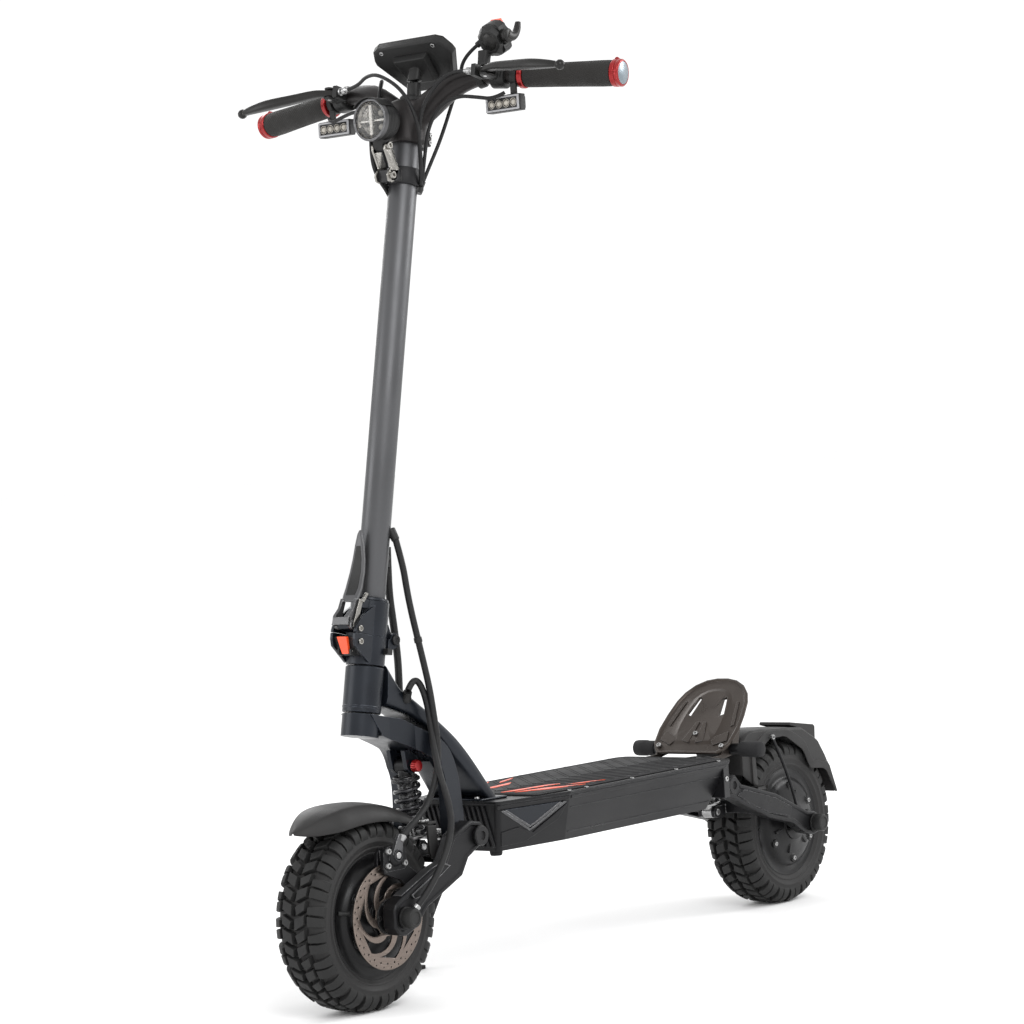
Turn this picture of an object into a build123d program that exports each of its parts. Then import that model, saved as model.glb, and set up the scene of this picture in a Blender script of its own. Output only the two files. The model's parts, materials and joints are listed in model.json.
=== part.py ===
from build123d import *
from math import cos, radians, sin, tan
import os

os.makedirs("parts", exist_ok=True)

# Electric kick scooter. Millimetres. +X is forward, +Y the rider's left, +Z up.
# The origin is on the ground, midway between the two axles.

# Wheels
TYRE_RADIUS = 127.5
TYRE_HALF_WIDTH = 40
TREAD_HALF_FLAT = 25
RIM_RADIUS = 77
AXLE_X = 498
AXLE_RADIUS = 8
ROTOR_RADIUS = 70
ROTOR_INNER_Y = 53.5
ROTOR_THICKNESS = 2.2

# Steering axis: it leans back by RAKE and meets the ground at STEER_GROUND_X.
RAKE = 12
STEER_GROUND_X = 548.3
STEERER_RADIUS = 15
CROWN_BOTTOM, CROWN_TOP = 370, 400
HEAD_BOTTOM, HEAD_TOP = 402, 464
HEAD_RADIUS = 26
CLAMP_BOTTOM, FOLD_PLANE, CLAMP_TOP = 466, 505, 552
FOLD_BACK = 33
STEM_RADIUS = 20
STEM_TOP = 1240
COLLAR_BOTTOM = 1186

# Suspension pivots and shock eyes, as (x, z)
FRONT_PIVOT = (336, 215)
REAR_PIVOT = (-272, 212)
FRONT_UPPER_EYE, FRONT_LOWER_EYE = (384, 314), (370, 202)
REAR_UPPER_EYE, REAR_LOWER_EYE = (-322, 238), (-336, 162)
PIVOT_RADIUS = 8
ARM_INNER, ARM_OUTER = 64, 86
EYE_PIN_RADIUS = 5

# Deck
DECK_REAR, DECK_FRONT = -258, 285
DECK_BOTTOM, DECK_LIP, DECK_TOP = 182, 250, 254
DECK_HALF_WIDTH, DECK_NOSE_HALF_WIDTH = 106, 80
MAT_TOP = 256.2

# Handlebar, in steering coordinates: forward of the axis, left, and along the axis
BAR_POINTS = [(-2, 22, 1232), (-8, 70, 1264), (-17, 115, 1276), (-30, 168, 1273), (-57, 319, 1265.5)]
BAR_RADII = [18, 16, 13, 11, 11]
LEVER_PIVOT = (10, 140, 1274)
LEVER_BEND_Y, LEVER_DROOP = 158, 8.1
PADDLE_PIVOT = (-22, 1330)

# Quick-release latch, in steering coordinates: forward of the axis and along it
LATCH_PIN = (46, 515)
CATCH_PIN = (40.5, 481)

RUNNING = 0.06
FIT = 0.05

STEER = Plane(
    origin=(STEER_GROUND_X, 0, 0),
    x_dir=(cos(radians(RAKE)), 0, sin(radians(RAKE))),
    z_dir=(-sin(radians(RAKE)), 0, cos(radians(RAKE))),
)
FRONT_WHEEL = Location((AXLE_X, 0, TYRE_RADIUS))
REAR_WHEEL = Location((-AXLE_X, 0, TYRE_RADIUS), (0, 0, 180))


def upright(radius, low, high, x=0, y=0):
    """A cylinder along Z between two heights."""
    return Pos(x, y, low) * Cylinder(radius, high - low, align=(Align.CENTER, Align.CENTER, Align.MIN))


def rod(start, end, radius, end_radius=None):
    """A round bar, or a cone, between two points."""
    start = Vector(*start)
    way = Vector(*end) - start
    align = (Align.CENTER, Align.CENTER, Align.MIN)
    if end_radius is None:
        body = Cylinder(radius, way.length, align=align)
    else:
        body = Cone(radius, end_radius, way.length, align=align)
    return Plane(origin=start, z_dir=way) * body


def cross(x, z, radius, low_y, high_y):
    """A cylinder along Y, between two values of Y."""
    return rod((x, low_y, z), (x, high_y, z), radius)


def block(low, high, edge=0):
    """A box between two corners, its upright edges rounded."""
    size = [b - a for a, b in zip(low, high)]
    body = Pos(*low) * Box(*size, align=(Align.MIN, Align.MIN, Align.MIN))
    return fillet(body.edges().filter_by(Axis.Z), edge) if edge else body


def slab(points, low_y, high_y, corner=0):
    """A plate with an outline in XZ, between two values of Y."""
    face = make_face(Polyline(*[(x, low_y, z) for x, z in points], close=True))
    if corner:
        face = fillet(face.vertices(), corner)
    return extrude(face, high_y - low_y, dir=(0, 1, 0))


def plan(points, low_z, high_z, corner=0):
    """A plate with an outline in XY, between two heights."""
    face = make_face(Polyline(*[(x, y, low_z) for x, y in points], close=True))
    if corner:
        face = fillet(face.vertices(), corner)
    return extrude(face, high_z - low_z, dir=(0, 0, 1))


def both(shape):
    """A shape and its twin on the other side."""
    return shape + mirror(shape, Plane.XZ)


def cable(points, radius):
    """A sleeve along straight runs joined by arcs as large as the runs allow."""
    points = [Vector(*p) for p in points]
    radii = []
    for before, here, after in zip(points, points[1:], points[2:]):
        turn = radians((here - before).get_angle(after - here))
        shorter = min((here - before).length, (after - here).length)
        radii.append(0.45 * shorter / tan(turn / 2))
    path = FilletPolyline(*points, radius=radii)
    section = Plane(origin=points[0], z_dir=points[1] - points[0]) * Circle(radius)
    return sweep(section, path=path)


# Wheels, brakes and axles, built round the axle and put at each end

def tyre():
    """An open-bottomed tyre with a flat tread."""
    outer = [(RIM_RADIUS, 31), (83, 31), (89, 37), (108, TYRE_HALF_WIDTH), (119, 38),
             (TYRE_RADIUS, TREAD_HALF_FLAT)]
    inner = [(RIM_RADIUS, 22), (84, 24), (96, 32), (110, 33), (117, 26)]
    half = [(r, y) for r, y in outer]
    ring = half + [(r, -y) for r, y in reversed(half)]
    hollow = [(r, -y) for r, y in inner] + [(r, y) for r, y in reversed(inner)]
    face = make_face(Polyline(*ring, *hollow, close=True))
    return revolve(face, Axis.Y)


def hub_motor():
    """A closed hub motor with rim flanges, side covers and the rotor's seat."""
    bore = AXLE_RADIUS + RUNNING
    profile = [(bore, -52), (20, -52), (22, -47), (34, -45), (66, -40), (70, -34), (82, -34), (82, -31.2),
               (RIM_RADIUS - 0.05, -31.2), (RIM_RADIUS - 0.05, 31.2), (82, 31.2), (82, 34), (70, 34),
               (66, 40), (34, 45), (28, 47), (28, ROTOR_INNER_Y), (bore, ROTOR_INNER_Y)]
    hub = revolve(make_face(Polyline(*profile, close=True)), Axis.Y)
    for turn in range(0, 360, 45):
        hub -= Rot(0, turn, 0) * cross(54, 0, 3, -46, -39)
    return hub


def rotor():
    """A brake disc with drilled braking ring and swept windows."""
    sketch = Circle(ROTOR_RADIUS) - Circle(18)
    for turn in range(0, 360, 15):
        sketch -= Rot(0, 0, turn) * Pos(64.5, 0) * Circle(2)
        sketch -= Rot(0, 0, turn + 7.5) * Pos(58, 0) * Circle(1.8)
    for turn in range(0, 360, 60):
        window = Rot(0, 0, turn) * Pos(41, 0) * Rot(0, 0, 35) * SlotOverall(24, 13, rotation=90)
        sketch -= window
        sketch -= Rot(0, 0, turn + 30) * Pos(23, 0) * Circle(2.6)
    face = Plane(origin=(0, ROTOR_INNER_Y, 0), z_dir=(0, 1, 0)) * sketch
    return extrude(face, ROTOR_THICKNESS, dir=(0, 1, 0))


def caliper():
    """A brake caliper astride the disc, its bracket and the stub its arm turns on."""
    body = block((-34, 45.5, 60), (12, 64, 92))
    body = fillet(body.edges().filter_by(Axis.Y), 6)
    body -= block((-40, 51.9, 50), (20, 57.3, 73))
    bracket = slab([(12, 66), (-34, 66), (-62, 46), (-50, 22), (-20, 40), (12, 58)], 58, ARM_INNER, 3)
    stub = cross(-11, 80, 4, ARM_INNER, 70)
    return body + bracket + stub


def caliper_arm():
    """The arm that the brake cable pulls."""
    blade = slab([(-18, 74), (-4, 74), (-2, 84), (-16, 108), (-25, 104)], 64.4, 69, 2)
    return blade - cross(-11, 80, 4 + RUNNING, 60, 75)


def axle():
    """The fixed axle and its two capped nuts."""
    shaft = cross(0, 0, AXLE_RADIUS, -100, 100)
    cap = cross(0, 0, 13, ARM_OUTER, 103) - cross(0, 0, AXLE_RADIUS, 0, 100)
    return [shaft, cap, mirror(cap, Plane.XZ)]


# Suspension

def shock_plane(upper, lower):
    """A plane at the upper eye whose Z runs down to the lower eye."""
    way = Vector(lower[0] - upper[0], 0, lower[1] - upper[1])
    return Plane(origin=(upper[0], 0, upper[1]), x_dir=(0, 1, 0), z_dir=way), way.length


def shock_body(upper, lower):
    """The upper half: eye, threaded cylinder, spring seat and adjuster ring."""
    plane, length = shock_plane(upper, lower)
    eye = Rot(0, 90, 0) * Cylinder(10, 18.8)
    barrel = upright(9, 4, 14) + upright(12, 14, 0.62 * length)
    seat = upright(20, 17, 21) + upright(17, 14, 17)
    body = eye + barrel + seat
    body -= Rot(0, 90, 0) * Cylinder(EYE_PIN_RADIUS + RUNNING, 40)
    body -= upright(EYE_PIN_RADIUS + RUNNING, 20, length)
    return plane * body


def shock_rod(upper, lower):
    """The lower half: eye, spring seat and damper rod. Its eye has room for an open pivot."""
    plane, length = shock_plane(upper, lower)
    eye = Pos(0, 0, length) * Rot(0, 90, 0) * Cylinder(9.5, 17)
    neck = upright(9, length - 16, length - 5)
    seat = upright(20, length - 17, length - 13)
    shaft = upright(EYE_PIN_RADIUS, 0.4 * length, length - 13)
    body = eye + neck + seat + shaft
    body -= Pos(0, 0, length) * Rot(0, 90, 0) * Cylinder(EYE_PIN_RADIUS + 0.7, 40)
    return plane * body


def shock_spring(upper, lower):
    """A coil between the two seats."""
    plane, length = shock_plane(upper, lower)
    wire, coil = 3, 16.6
    low, high = 21 + wire + 0.1, length - 17 - wire - 0.1
    turns = round((high - low) / 12.5)
    path = Pos(0, 0, low) * Helix(pitch=(high - low) / turns, height=high - low, radius=coil)
    start = Plane(origin=path @ 0, z_dir=path % 0)
    return plane * sweep(start * Circle(wire), path=path, is_frenet=True)


def front_swingarm():
    """Two bent arms, their pivot bosses, and the bridge that carries the shock."""
    px, pz = FRONT_PIVOT
    ex, ez = FRONT_LOWER_EYE
    outline = [(320, 209), (321, 222), (330, 233), (352, 237), (391, 221), (413, 188), (434, 183), (511, 151),
               (520, 140), (520, 116), (512, 106), (498, 103), (478, 110), (450, 135), (375, 166), (360, 188),
               (336, 200)]
    arm = slab(outline, ARM_INNER, ARM_OUTER, 3)
    arm += cross(px, pz, 17, 50, ARM_INNER)
    bridge = block((346, -ARM_INNER, 182), (377, ARM_INNER, 190))
    lug = slab([(356, 190), (377, 190), (380, 202), (375, 211), (366, 211), (359, 204)], 9, 15)
    body = both(arm + lug) + bridge
    body -= cross(px, pz, PIVOT_RADIUS + RUNNING, -100, 100)
    body -= cross(AXLE_X, TYRE_RADIUS, AXLE_RADIUS + FIT, -100, 100)
    return body - cross(ex, ez, EYE_PIN_RADIUS + FIT, -40, 40)


def rear_swingarm():
    """The rear arms, and the bridge behind the shock with its two lugs."""
    px, pz = REAR_PIVOT
    ex, ez = REAR_LOWER_EYE
    outline = [(-254, 200), (-254, 226), (-288, 226), (-302, 210), (-395, 185), (-482, 147), (-500, 145),
               (-513, 138), (-516, 124), (-509, 112), (-494, 109), (-474, 114), (-440, 134), (-376, 150),
               (-352, 160), (-320, 172), (-283, 189)]
    arm = slab(outline, ARM_INNER, ARM_OUTER, 3)
    bridge = block((-368, -ARM_INNER, 158), (-358, ARM_INNER, 178))
    lug = slab([(-359, 158), (-359, 172), (-345, 171), (-332, 171), (-326, 164), (-328, 155), (-336, 152.5),
                (-346, 153)], 9, 15)
    body = both(arm + lug) + bridge
    body -= cross(px, pz, PIVOT_RADIUS + RUNNING, -100, 100)
    body -= cross(-AXLE_X, TYRE_RADIUS, AXLE_RADIUS + FIT, -100, 100)
    return body - cross(ex, ez, EYE_PIN_RADIUS + FIT, -40, 40)


def front_fender():
    """A mudguard with side skirts, carried by two wings on the swingarm."""
    outer = [(616, 251), (600, 268), (558, 281), (508, 282), (438, 267), (400, 248), (398, 236),
             (430, 246), (500, 251), (560, 245), (590, 241)]
    inner = [(611, 249), (598, 264), (558, 278), (508, 279), (439, 264), (400, 244), (392, 230), (600, 230)]
    shell = slab(outer, -45, 45) - slab(inner, -42.5, 42.5)
    wing = block((396, 43, 239), (414, ARM_INNER, 243)) + block((396, 60, 192), (414, ARM_INNER, 243))
    nose = plan([(380, -46), (560, -46), (598, -24), (617, 0), (598, 24), (560, 46), (380, 46)], 200, 300)
    return (shell & nose) + both(wing)


# Each rear stay: its side, its foot on the arm, its knee and its head on the mudguard
FENDER_STAYS = [
    (1, (-490, 60.5, 144), (-480, 60.5, 192), (-449, 47, 268)),
    (-1, (-508, 60.5, 134), (-526, 60.5, 206), (-528, 47, 258)),
]


def rear_fender():
    """The rear mudguard, its flap and its two thin stays."""
    outer = [(-366, 196), (-368, 268), (-392, 281), (-420, 281), (-503, 276), (-545, 272), (-588, 250),
             (-612, 218), (-633, 160),
             (-629, 158), (-600, 200), (-556, 202), (-538, 236), (-489, 264), (-446, 264), (-402, 242),
             (-406, 188)]
    inner = [(-360, 180), (-371.5, 264), (-393, 277.5), (-420, 277.5), (-502.5, 272.5), (-543.5, 268.6),
             (-585.5, 247.5), (-609, 216.5), (-630, 150), (-500, 150)]
    shell = slab(outer, -46, 46) - slab(inner, -43.5, 43.5)
    shell -= slab([(-375, 180), (-375, 262), (-360, 262), (-360, 180)], -43.5, 43.5)
    wing = block((-404, 45, 190), (-376, ARM_INNER, 196)) + block((-404, 60, 174), (-376, ARM_INNER, 196))
    shell += both(wing)
    for side, foot, knee, head in FENDER_STAYS:
        foot, knee, head = [(x, side * y, z) for x, y, z in (foot, knee, head)]
        shell += rod(foot, knee, 2.5) + Pos(*knee) * Sphere(2.5)
        shell += rod(knee, head, 2.5) + Pos(*head) * Sphere(3)
        shell += rod(foot, (foot[0], side * ARM_INNER, foot[2]), 4)
    return shell


def tail_light():
    """The box on the rear mudguard with its red lens behind."""
    box = slab([(-530, 274), (-545, 271.5), (-588, 249.5), (-600, 248), (-600, 270), (-532, 280)], -28, 28)
    lens = slab([(-600.3, 249), (-604, 250), (-604, 268), (-600.3, 269.5)], -26, 26)
    return [box - rear_fender(), lens]


# Frame

def neck_frame():
    """The head tube and the arched neck that widens down to the deck."""
    top = Spline((430, 60, 455), (410, 60, 421), (388, 60, 407), (340, 60, 369), (300, 60, 331),
                 (243, 60, 254))
    bottom = Spline((436, 60, 398), (411, 60, 390), (385, 60, 378), (350, 60, 350), (323, 60, 316),
                    (270, 60, 254))
    ends = [Line(bottom @ 0, top @ 0), Line(top @ 1, bottom @ 1)]
    side = extrude(make_face(Wire([top, ends[1], bottom, ends[0]])), 120, dir=(0, -1, 0))
    width = [(445, -25), (400, -27), (350, -36), (300, -46), (240, -54)]
    outline = width + [(x, -y) for x, y in reversed(width)]
    arch = side & plan(outline, 200, 480)
    head = STEER * upright(HEAD_RADIUS, HEAD_BOTTOM, HEAD_TOP)
    body = arch + head
    body += rod((378, 0, 388), (384, 0, 412), 8)
    body -= STEER * upright(22, HEAD_BOTTOM - 10, HEAD_TOP + 10)
    body -= STEER * upright(60, HEAD_TOP, HEAD_TOP + 60)
    return body - STEER * upright(60, HEAD_BOTTOM - 40, HEAD_BOTTOM)


def headset_bearings():
    """Two sealed bearings pressed in the head tube."""
    ring = upright(22, HEAD_BOTTOM, HEAD_BOTTOM + 12) - upright(STEERER_RADIUS + RUNNING, 300, 500)
    return [STEER * ring, STEER * (Pos(0, 0, HEAD_TOP - HEAD_BOTTOM - 12) * ring)]


def deck_outline(rear, front, half, nose_half):
    """The deck's outline: straight sides that taper to a narrower nose."""
    side = [(rear, half - 10), (rear + 16, half), (front - 130, half), (front, nose_half)]
    return side + [(x, -y) for x, y in reversed(side)]


def deck_face(points, z, corner):
    """A rounded outline at a height."""
    return fillet(make_face(Polyline(*[(x, y, z) for x, y in points], close=True)).vertices(), corner)


def deck_shell():
    """The deck's tub, with the rear block that holds the swingarm and the shock."""
    low = deck_face(deck_outline(DECK_REAR + 22, DECK_FRONT - 24, 74, 58), DECK_BOTTOM, 8)
    high = deck_face(deck_outline(DECK_REAR, DECK_FRONT, DECK_HALF_WIDTH, DECK_NOSE_HALF_WIDTH), DECK_LIP, 8)
    low_in = deck_face(deck_outline(DECK_REAR + 28, DECK_FRONT - 30, 69, 54), DECK_BOTTOM + 4, 6)
    mouth = deck_outline(DECK_REAR + 8, DECK_FRONT - 8, DECK_HALF_WIDTH - 6, DECK_NOSE_HALF_WIDTH - 6)
    high_in = deck_face(mouth, DECK_LIP, 6)
    tub = loft([low, high], ruled=True)
    px, pz = REAR_PIVOT
    ex, ez = REAR_UPPER_EYE
    rear = slab([(-236, 200), (-262, 196), (-286, 202), (-288, 222), (-284, 250), (-236, 250)], -63, 63)
    lug = slab([(-284, 222), (-322, 227), (-333, 238), (-326, 249), (-284, 250)], 10, 16, 3)
    tub = tub + rear + both(lug)
    tub -= loft([low_in, high_in], ruled=True)
    tub -= cross(px, pz, PIVOT_RADIUS + FIT, -100, 100)
    return tub - cross(ex, ez, EYE_PIN_RADIUS + FIT, -40, 40)


def deck_cover():
    """The lid, flush with the tub's lip."""
    outline = deck_outline(DECK_REAR, DECK_FRONT, DECK_HALF_WIDTH, DECK_NOSE_HALF_WIDTH)
    return plan(outline, DECK_LIP, DECK_TOP, 8)


def deck_mat():
    """The grip mat on the lid."""
    return plan(deck_outline(-246, 218, 98, 92), DECK_TOP, MAT_TOP, 10)


def deck_fittings():
    """Lid screws, the two feet under the nose, the rear pivot bolt and the shock's upper pin."""
    px, pz = REAR_PIVOT
    ex, ez = REAR_UPPER_EYE
    places = [(x, y) for x in (-220, -110, 0, 110, 150) for y in (-102, 102)]
    screws = [upright(2.8, DECK_TOP, DECK_TOP + 1.6, x, y) for x, y in places]
    screws += [upright(2.8, DECK_TOP, DECK_TOP + 1.6, 272, y) for y in (-64, 64)]
    feet = [upright(9, DECK_BOTTOM - 8, DECK_BOTTOM, 244, y) for y in (-40, 40)]
    bolt = cross(px, pz, PIVOT_RADIUS, -88, 88) + both(cross(px, pz, 13, ARM_OUTER + 0.3, 93))
    return screws + feet + [bolt, cross(ex, ez, EYE_PIN_RADIUS, -18, 18)]


def battery_pack():
    """The battery in the tub, with its lead block."""
    return block((-196, -62, 190), (128, 62, 236), 8) + block((128, -20, 196), (136, 20, 216))


def motor_controllers():
    """One controller for each motor, with cooling fins."""
    boxes = []
    for low_y in (-52, 4):
        box = block((142, low_y, 188), (232, low_y + 48, 214), 3)
        for step in range(6):
            box += block((148 + 14 * step, low_y + 3, 214), (152 + 14 * step, low_y + 45, 222))
        boxes.append(box)
    return boxes


KICK_ORIGIN = (-286, 0, 256)
KICK_SLOPE = 44


def kick_plate():
    """The sloping foot rest at the back, on two side stays."""
    slope = radians(KICK_SLOPE)
    plane = Plane(origin=KICK_ORIGIN, x_dir=(-cos(slope), 0, sin(slope)), z_dir=(sin(slope), 0, cos(slope)))
    half = [(0, 57), (21, 72), (78, 71), (120, 60), (142, 38), (151, 14)]
    outline = half + [(x, -y) for x, y in reversed(half)]
    plate = plan(outline, 0, 4, 3)
    for y in (-24, 24):
        plate -= Pos(92, y, 2) * extrude(SlotOverall(40, 8), 6, both=True)
    stay = slab([(-258.5, 250), (-258.5, 255), (-286, 256), (-343, 311), (-341, 290), (-330, 255),
                 (-292, 250)], 57, 62)
    body = plane * plate + both(stay)
    body -= cross(-315, 262, 9 + FIT, -100, 100)
    keep_out = block((-330, -120, 200), (DECK_REAR + 20, 120, DECK_TOP))
    return body - (keep_out & plan(deck_outline(DECK_REAR, 0, 106, 106), 200, DECK_TOP)) - deck_shell()


def grab_bar():
    """A cross tube behind the deck with a rubber sleeve at each end."""
    tube = cross(-315, 262, 9, -117, 117)
    sleeve = cross(-315, 262, 11.5, 84, 119) - cross(-315, 262, 9, 60, 117)
    return [tube, sleeve, mirror(sleeve, Plane.XZ)]


STAND_PIVOT = (228, 170)


def kickstand_bracket():
    """Two ears under the deck, on the right, and the pin between them."""
    x, z = STAND_PIVOT
    plate = block((x - 20, -76, DECK_BOTTOM - 3), (x + 16, -52, DECK_BOTTOM))
    top = DECK_BOTTOM - 3
    ear = slab([(x - 12, top), (x + 12, top), (x + 9, z - 7), (x - 9, z - 7)], -76, -73)
    ears = ear + Pos(0, 21, 0) * ear
    return [plate + ears - cross(x, z, 4, -90, -40), cross(x, z, 4, -78, -50)]


def kickstand_leg():
    """The stand's leg, splayed to the right, and its foot."""
    x, z = STAND_PIVOT
    boss = cross(x, z, 7, -72.5, -55.5)
    knee = (x - 2, -66, 146)
    leg = boss + rod((x, -64, z), knee, 5.8) + Pos(*knee) * Sphere(6) + rod(knee, (x - 10, -146, 6), 6, 5.5)
    leg = leg - block((x - 60, -170, -20), (x + 60, -50, 0)) + block((x - 28, -162, 0), (x + 8, -134, 5), 6)
    return leg - cross(x, z, 4 + RUNNING, -90, -40)


# Fork and fold

def fork_arm():
    """The crown and the curved arm that runs back and down to the front pivot."""
    px, pz = FRONT_PIVOT
    ex, ez = FRONT_UPPER_EYE
    outer = Spline((478, 60, 397), (421, 60, 383), (371, 60, 355), (347, 60, 336), (330, 60, 300),
                   (320, 60, 215))
    inner = Spline((454, 60, 362), (404, 60, 342), (372, 60, 322), (358, 60, 300), (354, 60, 260),
                   (352, 60, 215))
    ends = [Line(inner @ 0, outer @ 0), Line(outer @ 1, inner @ 1)]
    side = extrude(make_face(Wire([outer, ends[1], inner, ends[0]])), 120, dir=(0, -1, 0))
    width = [(500, -26), (440, -27), (395, -33), (362, -49.5), (300, -49.5)]
    outline = width + [(x, -y) for x, y in reversed(width)]
    arm = (side & plan(outline, 180, 420)) + cross(px, pz, 16, -49.5, 49.5)
    arm -= block((280, -34, 180), (402, 34, 318))
    clevis = slab([(372, 336), (400, 336), (395, 310), (388, 304), (380, 304), (374, 310)], 10, 16)
    crown = STEER * upright(25.5, CROWN_BOTTOM, CROWN_TOP)
    body = arm + both(clevis) + crown
    body -= STEER * upright(80, CROWN_TOP, CROWN_TOP + 60)
    body -= cross(px, pz, PIVOT_RADIUS + FIT, -100, 100)
    return body - cross(ex, ez, EYE_PIN_RADIUS + FIT, -40, 40)


def fold_lower_clamp():
    """The steerer, the block below the fold, its hinge ears and the latch cheeks."""
    body = upright(HEAD_RADIUS, CLAMP_BOTTOM, FOLD_PLANE) + upright(STEERER_RADIUS, CROWN_TOP, CLAMP_BOTTOM)
    ear = slab([(-20, 486), (-20, FOLD_PLANE - 1), (-FOLD_BACK + 8, FOLD_PLANE), (-FOLD_BACK - 9, FOLD_PLANE),
                (-FOLD_BACK - 7, FOLD_PLANE - 8)], 13, 21)
    ear += cross(-FOLD_BACK, FOLD_PLANE, 9, 13, 21)
    cheek = slab([(8, 470), (18, 468), (47, 487), (50, 496), (50, FOLD_PLANE - 0.2), (8, FOLD_PLANE - 0.2)],
                 18, 22, 2)
    body += both(ear + cheek)
    body -= block((-60, -13, FOLD_PLANE - 14), (-20, 13, FOLD_PLANE + 20))
    body -= cross(-FOLD_BACK, FOLD_PLANE, 5 + FIT, -40, 40)
    return STEER * body


def latch_base():
    """The block between the cheeks with the pocket that the hook drops in."""
    body = slab([(26.5, 476), (36, 478), (47, 499.5), (41, 500.5), (38, 503), (26.5, 503)], -17.6, 17.6, 1)
    body -= slab([(29, 488), (39.5, 488), (41.5, 510), (29, 510)], -9, 9)
    body += both(slab([(34, 475), (44, 475.5), (45, 483), (38, 485)], 9.2, 12, 1))
    return STEER * (body - cross(*CATCH_PIN, 1.2 + FIT, -20, 20))


def safety_catch():
    """The sprung catch on the front of the latch block."""
    body = slab([(38, 479), (41.5, 476.5), (53, 498.5), (52, 500.5), (47.6, 499.6)], -8.5, 8.5)
    body += cross(*CATCH_PIN, 2.2, -8.5, 8.5)
    return STEER * (body - cross(*CATCH_PIN, 1.2 + RUNNING, -30, 30))


def fork_fasteners():
    """Hinge bolt, pivot bolt, shock pin, catch pin, cheek screws and the shock's adjuster knob."""
    px, pz = FRONT_PIVOT
    ex, ez = FRONT_UPPER_EYE
    hinge = cross(-FOLD_BACK, FOLD_PLANE, 5, -21, 21) + both(cross(-FOLD_BACK, FOLD_PLANE, 7, 21, 24.5))
    catch_pin = cross(*CATCH_PIN, 1.2, -12, 12)
    screws = both(cross(38, 494, 4, 22, 24.5))
    pivot = cross(px, pz, PIVOT_RADIUS, -88, 88) + both(cross(px, pz, 14, ARM_OUTER + 0.3, 92))
    pin = cross(ex, ez, EYE_PIN_RADIUS, -18, 18)
    knob = cross(ex, ez, 8.5, 18, 28)
    return [STEER * hinge, STEER * catch_pin, STEER * screws, pivot, pin, knob]


def fold_upper_clamp():
    """The block above the fold, its hinge tongue and the tongue that carries the lever."""
    body = upright(HEAD_RADIUS, FOLD_PLANE + 0.4, CLAMP_TOP)
    tongue = cross(-FOLD_BACK, FOLD_PLANE, 9, -12.6, 12.6)
    tongue += slab([(-FOLD_BACK, FOLD_PLANE + 9), (-FOLD_BACK, FOLD_PLANE), (-18, FOLD_PLANE + 0.4),
                    (-18, 530), (-27, 524)], -12.6, 12.6)
    front = slab([(20, 506), (34, 506), (43, 508.6), (50, 509.5), (53, 515), (50, 521), (44, 523), (30, 540),
                  (20, 546)], -9, 9, 1)
    hook = slab([(30, 507), (30, 490), (38, 490), (38, 493), (34, 497), (36, 508)], -7, 7)
    ear = slab([(8, 505.4), (50, 505.4), (48.5, 513), (36, 530), (15, 545), (8, 545)], 18, 22, 1)
    body += tongue + front + hook + both(ear)
    body -= upright(STEM_RADIUS + FIT, FOLD_PLANE + 4, CLAMP_TOP + 10)
    body -= cross(-FOLD_BACK, FOLD_PLANE, 5 + RUNNING, -40, 40)
    body -= cross(*LATCH_PIN, 3 + FIT, -17.9, 17.9)
    slit = block((-30, -1, 520), (-10, 1, 560))
    return STEER * (body - slit)


def latch_rod():
    """The lever's pin, the flat link on its left end, the link's nut and seat, and the ears' screws."""
    u, s = LATCH_PIN
    link = slab([(u - 3.5, s - 3), (u + 3.5, s - 3), (u + 4, s + 2), (41, 551), (34.5, 549)], 15.9, 17.7)
    nut = rod((36, 17.6, 547), (28, 17.6, 560), 3)
    seat = block((18, 14.4, 540), (36, 17.7, CLAMP_TOP))
    seat -= upright(HEAD_RADIUS + FIT, FOLD_PLANE, CLAMP_TOP + 1)
    draw = cross(u, s, 3, -17.4, 17.4) + link + nut + seat
    return [STEER * draw, STEER * both(cross(40.7, 511, 4, 22, 24.5))]


def latch_lever():
    """The quick-release lever: a forked knuckle, a cross bar and a leaf-shaped blade."""
    knuckle = both(cross(*LATCH_PIN, 6.5, 9.4, 15.5))
    cheek = both(slab([(43, 519), (50, 511.5), (57, 514), (57, 526), (48.5, 537), (44, 551), (37.5, 551),
                       (42, 530)], 9.4, 14))
    bar = slab([(54, 514), (57, 514), (57, 524), (54, 525)], -14, 14)
    blade = slab([(37.5, 549), (44.5, 547), (42, 553), (37.5, 566), (33, 588), (31.5, 604), (33.5, 640),
                  (31, 646), (27.5, 640), (26.5, 604), (31, 568)], -15, 15)
    front = [(-14, 530), (-15, 560), (-13, 600), (-8, 640), (-4, 650)]
    outline = front + [(-y, s) for y, s in reversed(front)]
    leaf = make_face(Polyline(*[(0, y, s) for y, s in outline], close=True))
    blade = blade & extrude(leaf, 100, dir=(1, 0, 0))
    body = knuckle + cheek + bar + blade
    return STEER * (body - cross(*LATCH_PIN, 3 + RUNNING, -40, 40))


# Stem and handlebar

def stem_tube():
    """The stem, with the gland its front cable leaves by."""
    tube = upright(STEM_RADIUS, FOLD_PLANE + 4, STEM_TOP)
    return STEER * (tube - upright(STEM_RADIUS - 3, FOLD_PLANE + 12, STEM_TOP - 6))


def bar_at(distance):
    """A point of the straight outer part of the bar, by its distance to the left."""
    (u0, y0, s0), (u1, y1, s1) = BAR_POINTS[-2:]
    share = (distance - y0) / (y1 - y0)
    return (u0 + share * (u1 - u0), distance, s0 + share * (s1 - s0))


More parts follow.
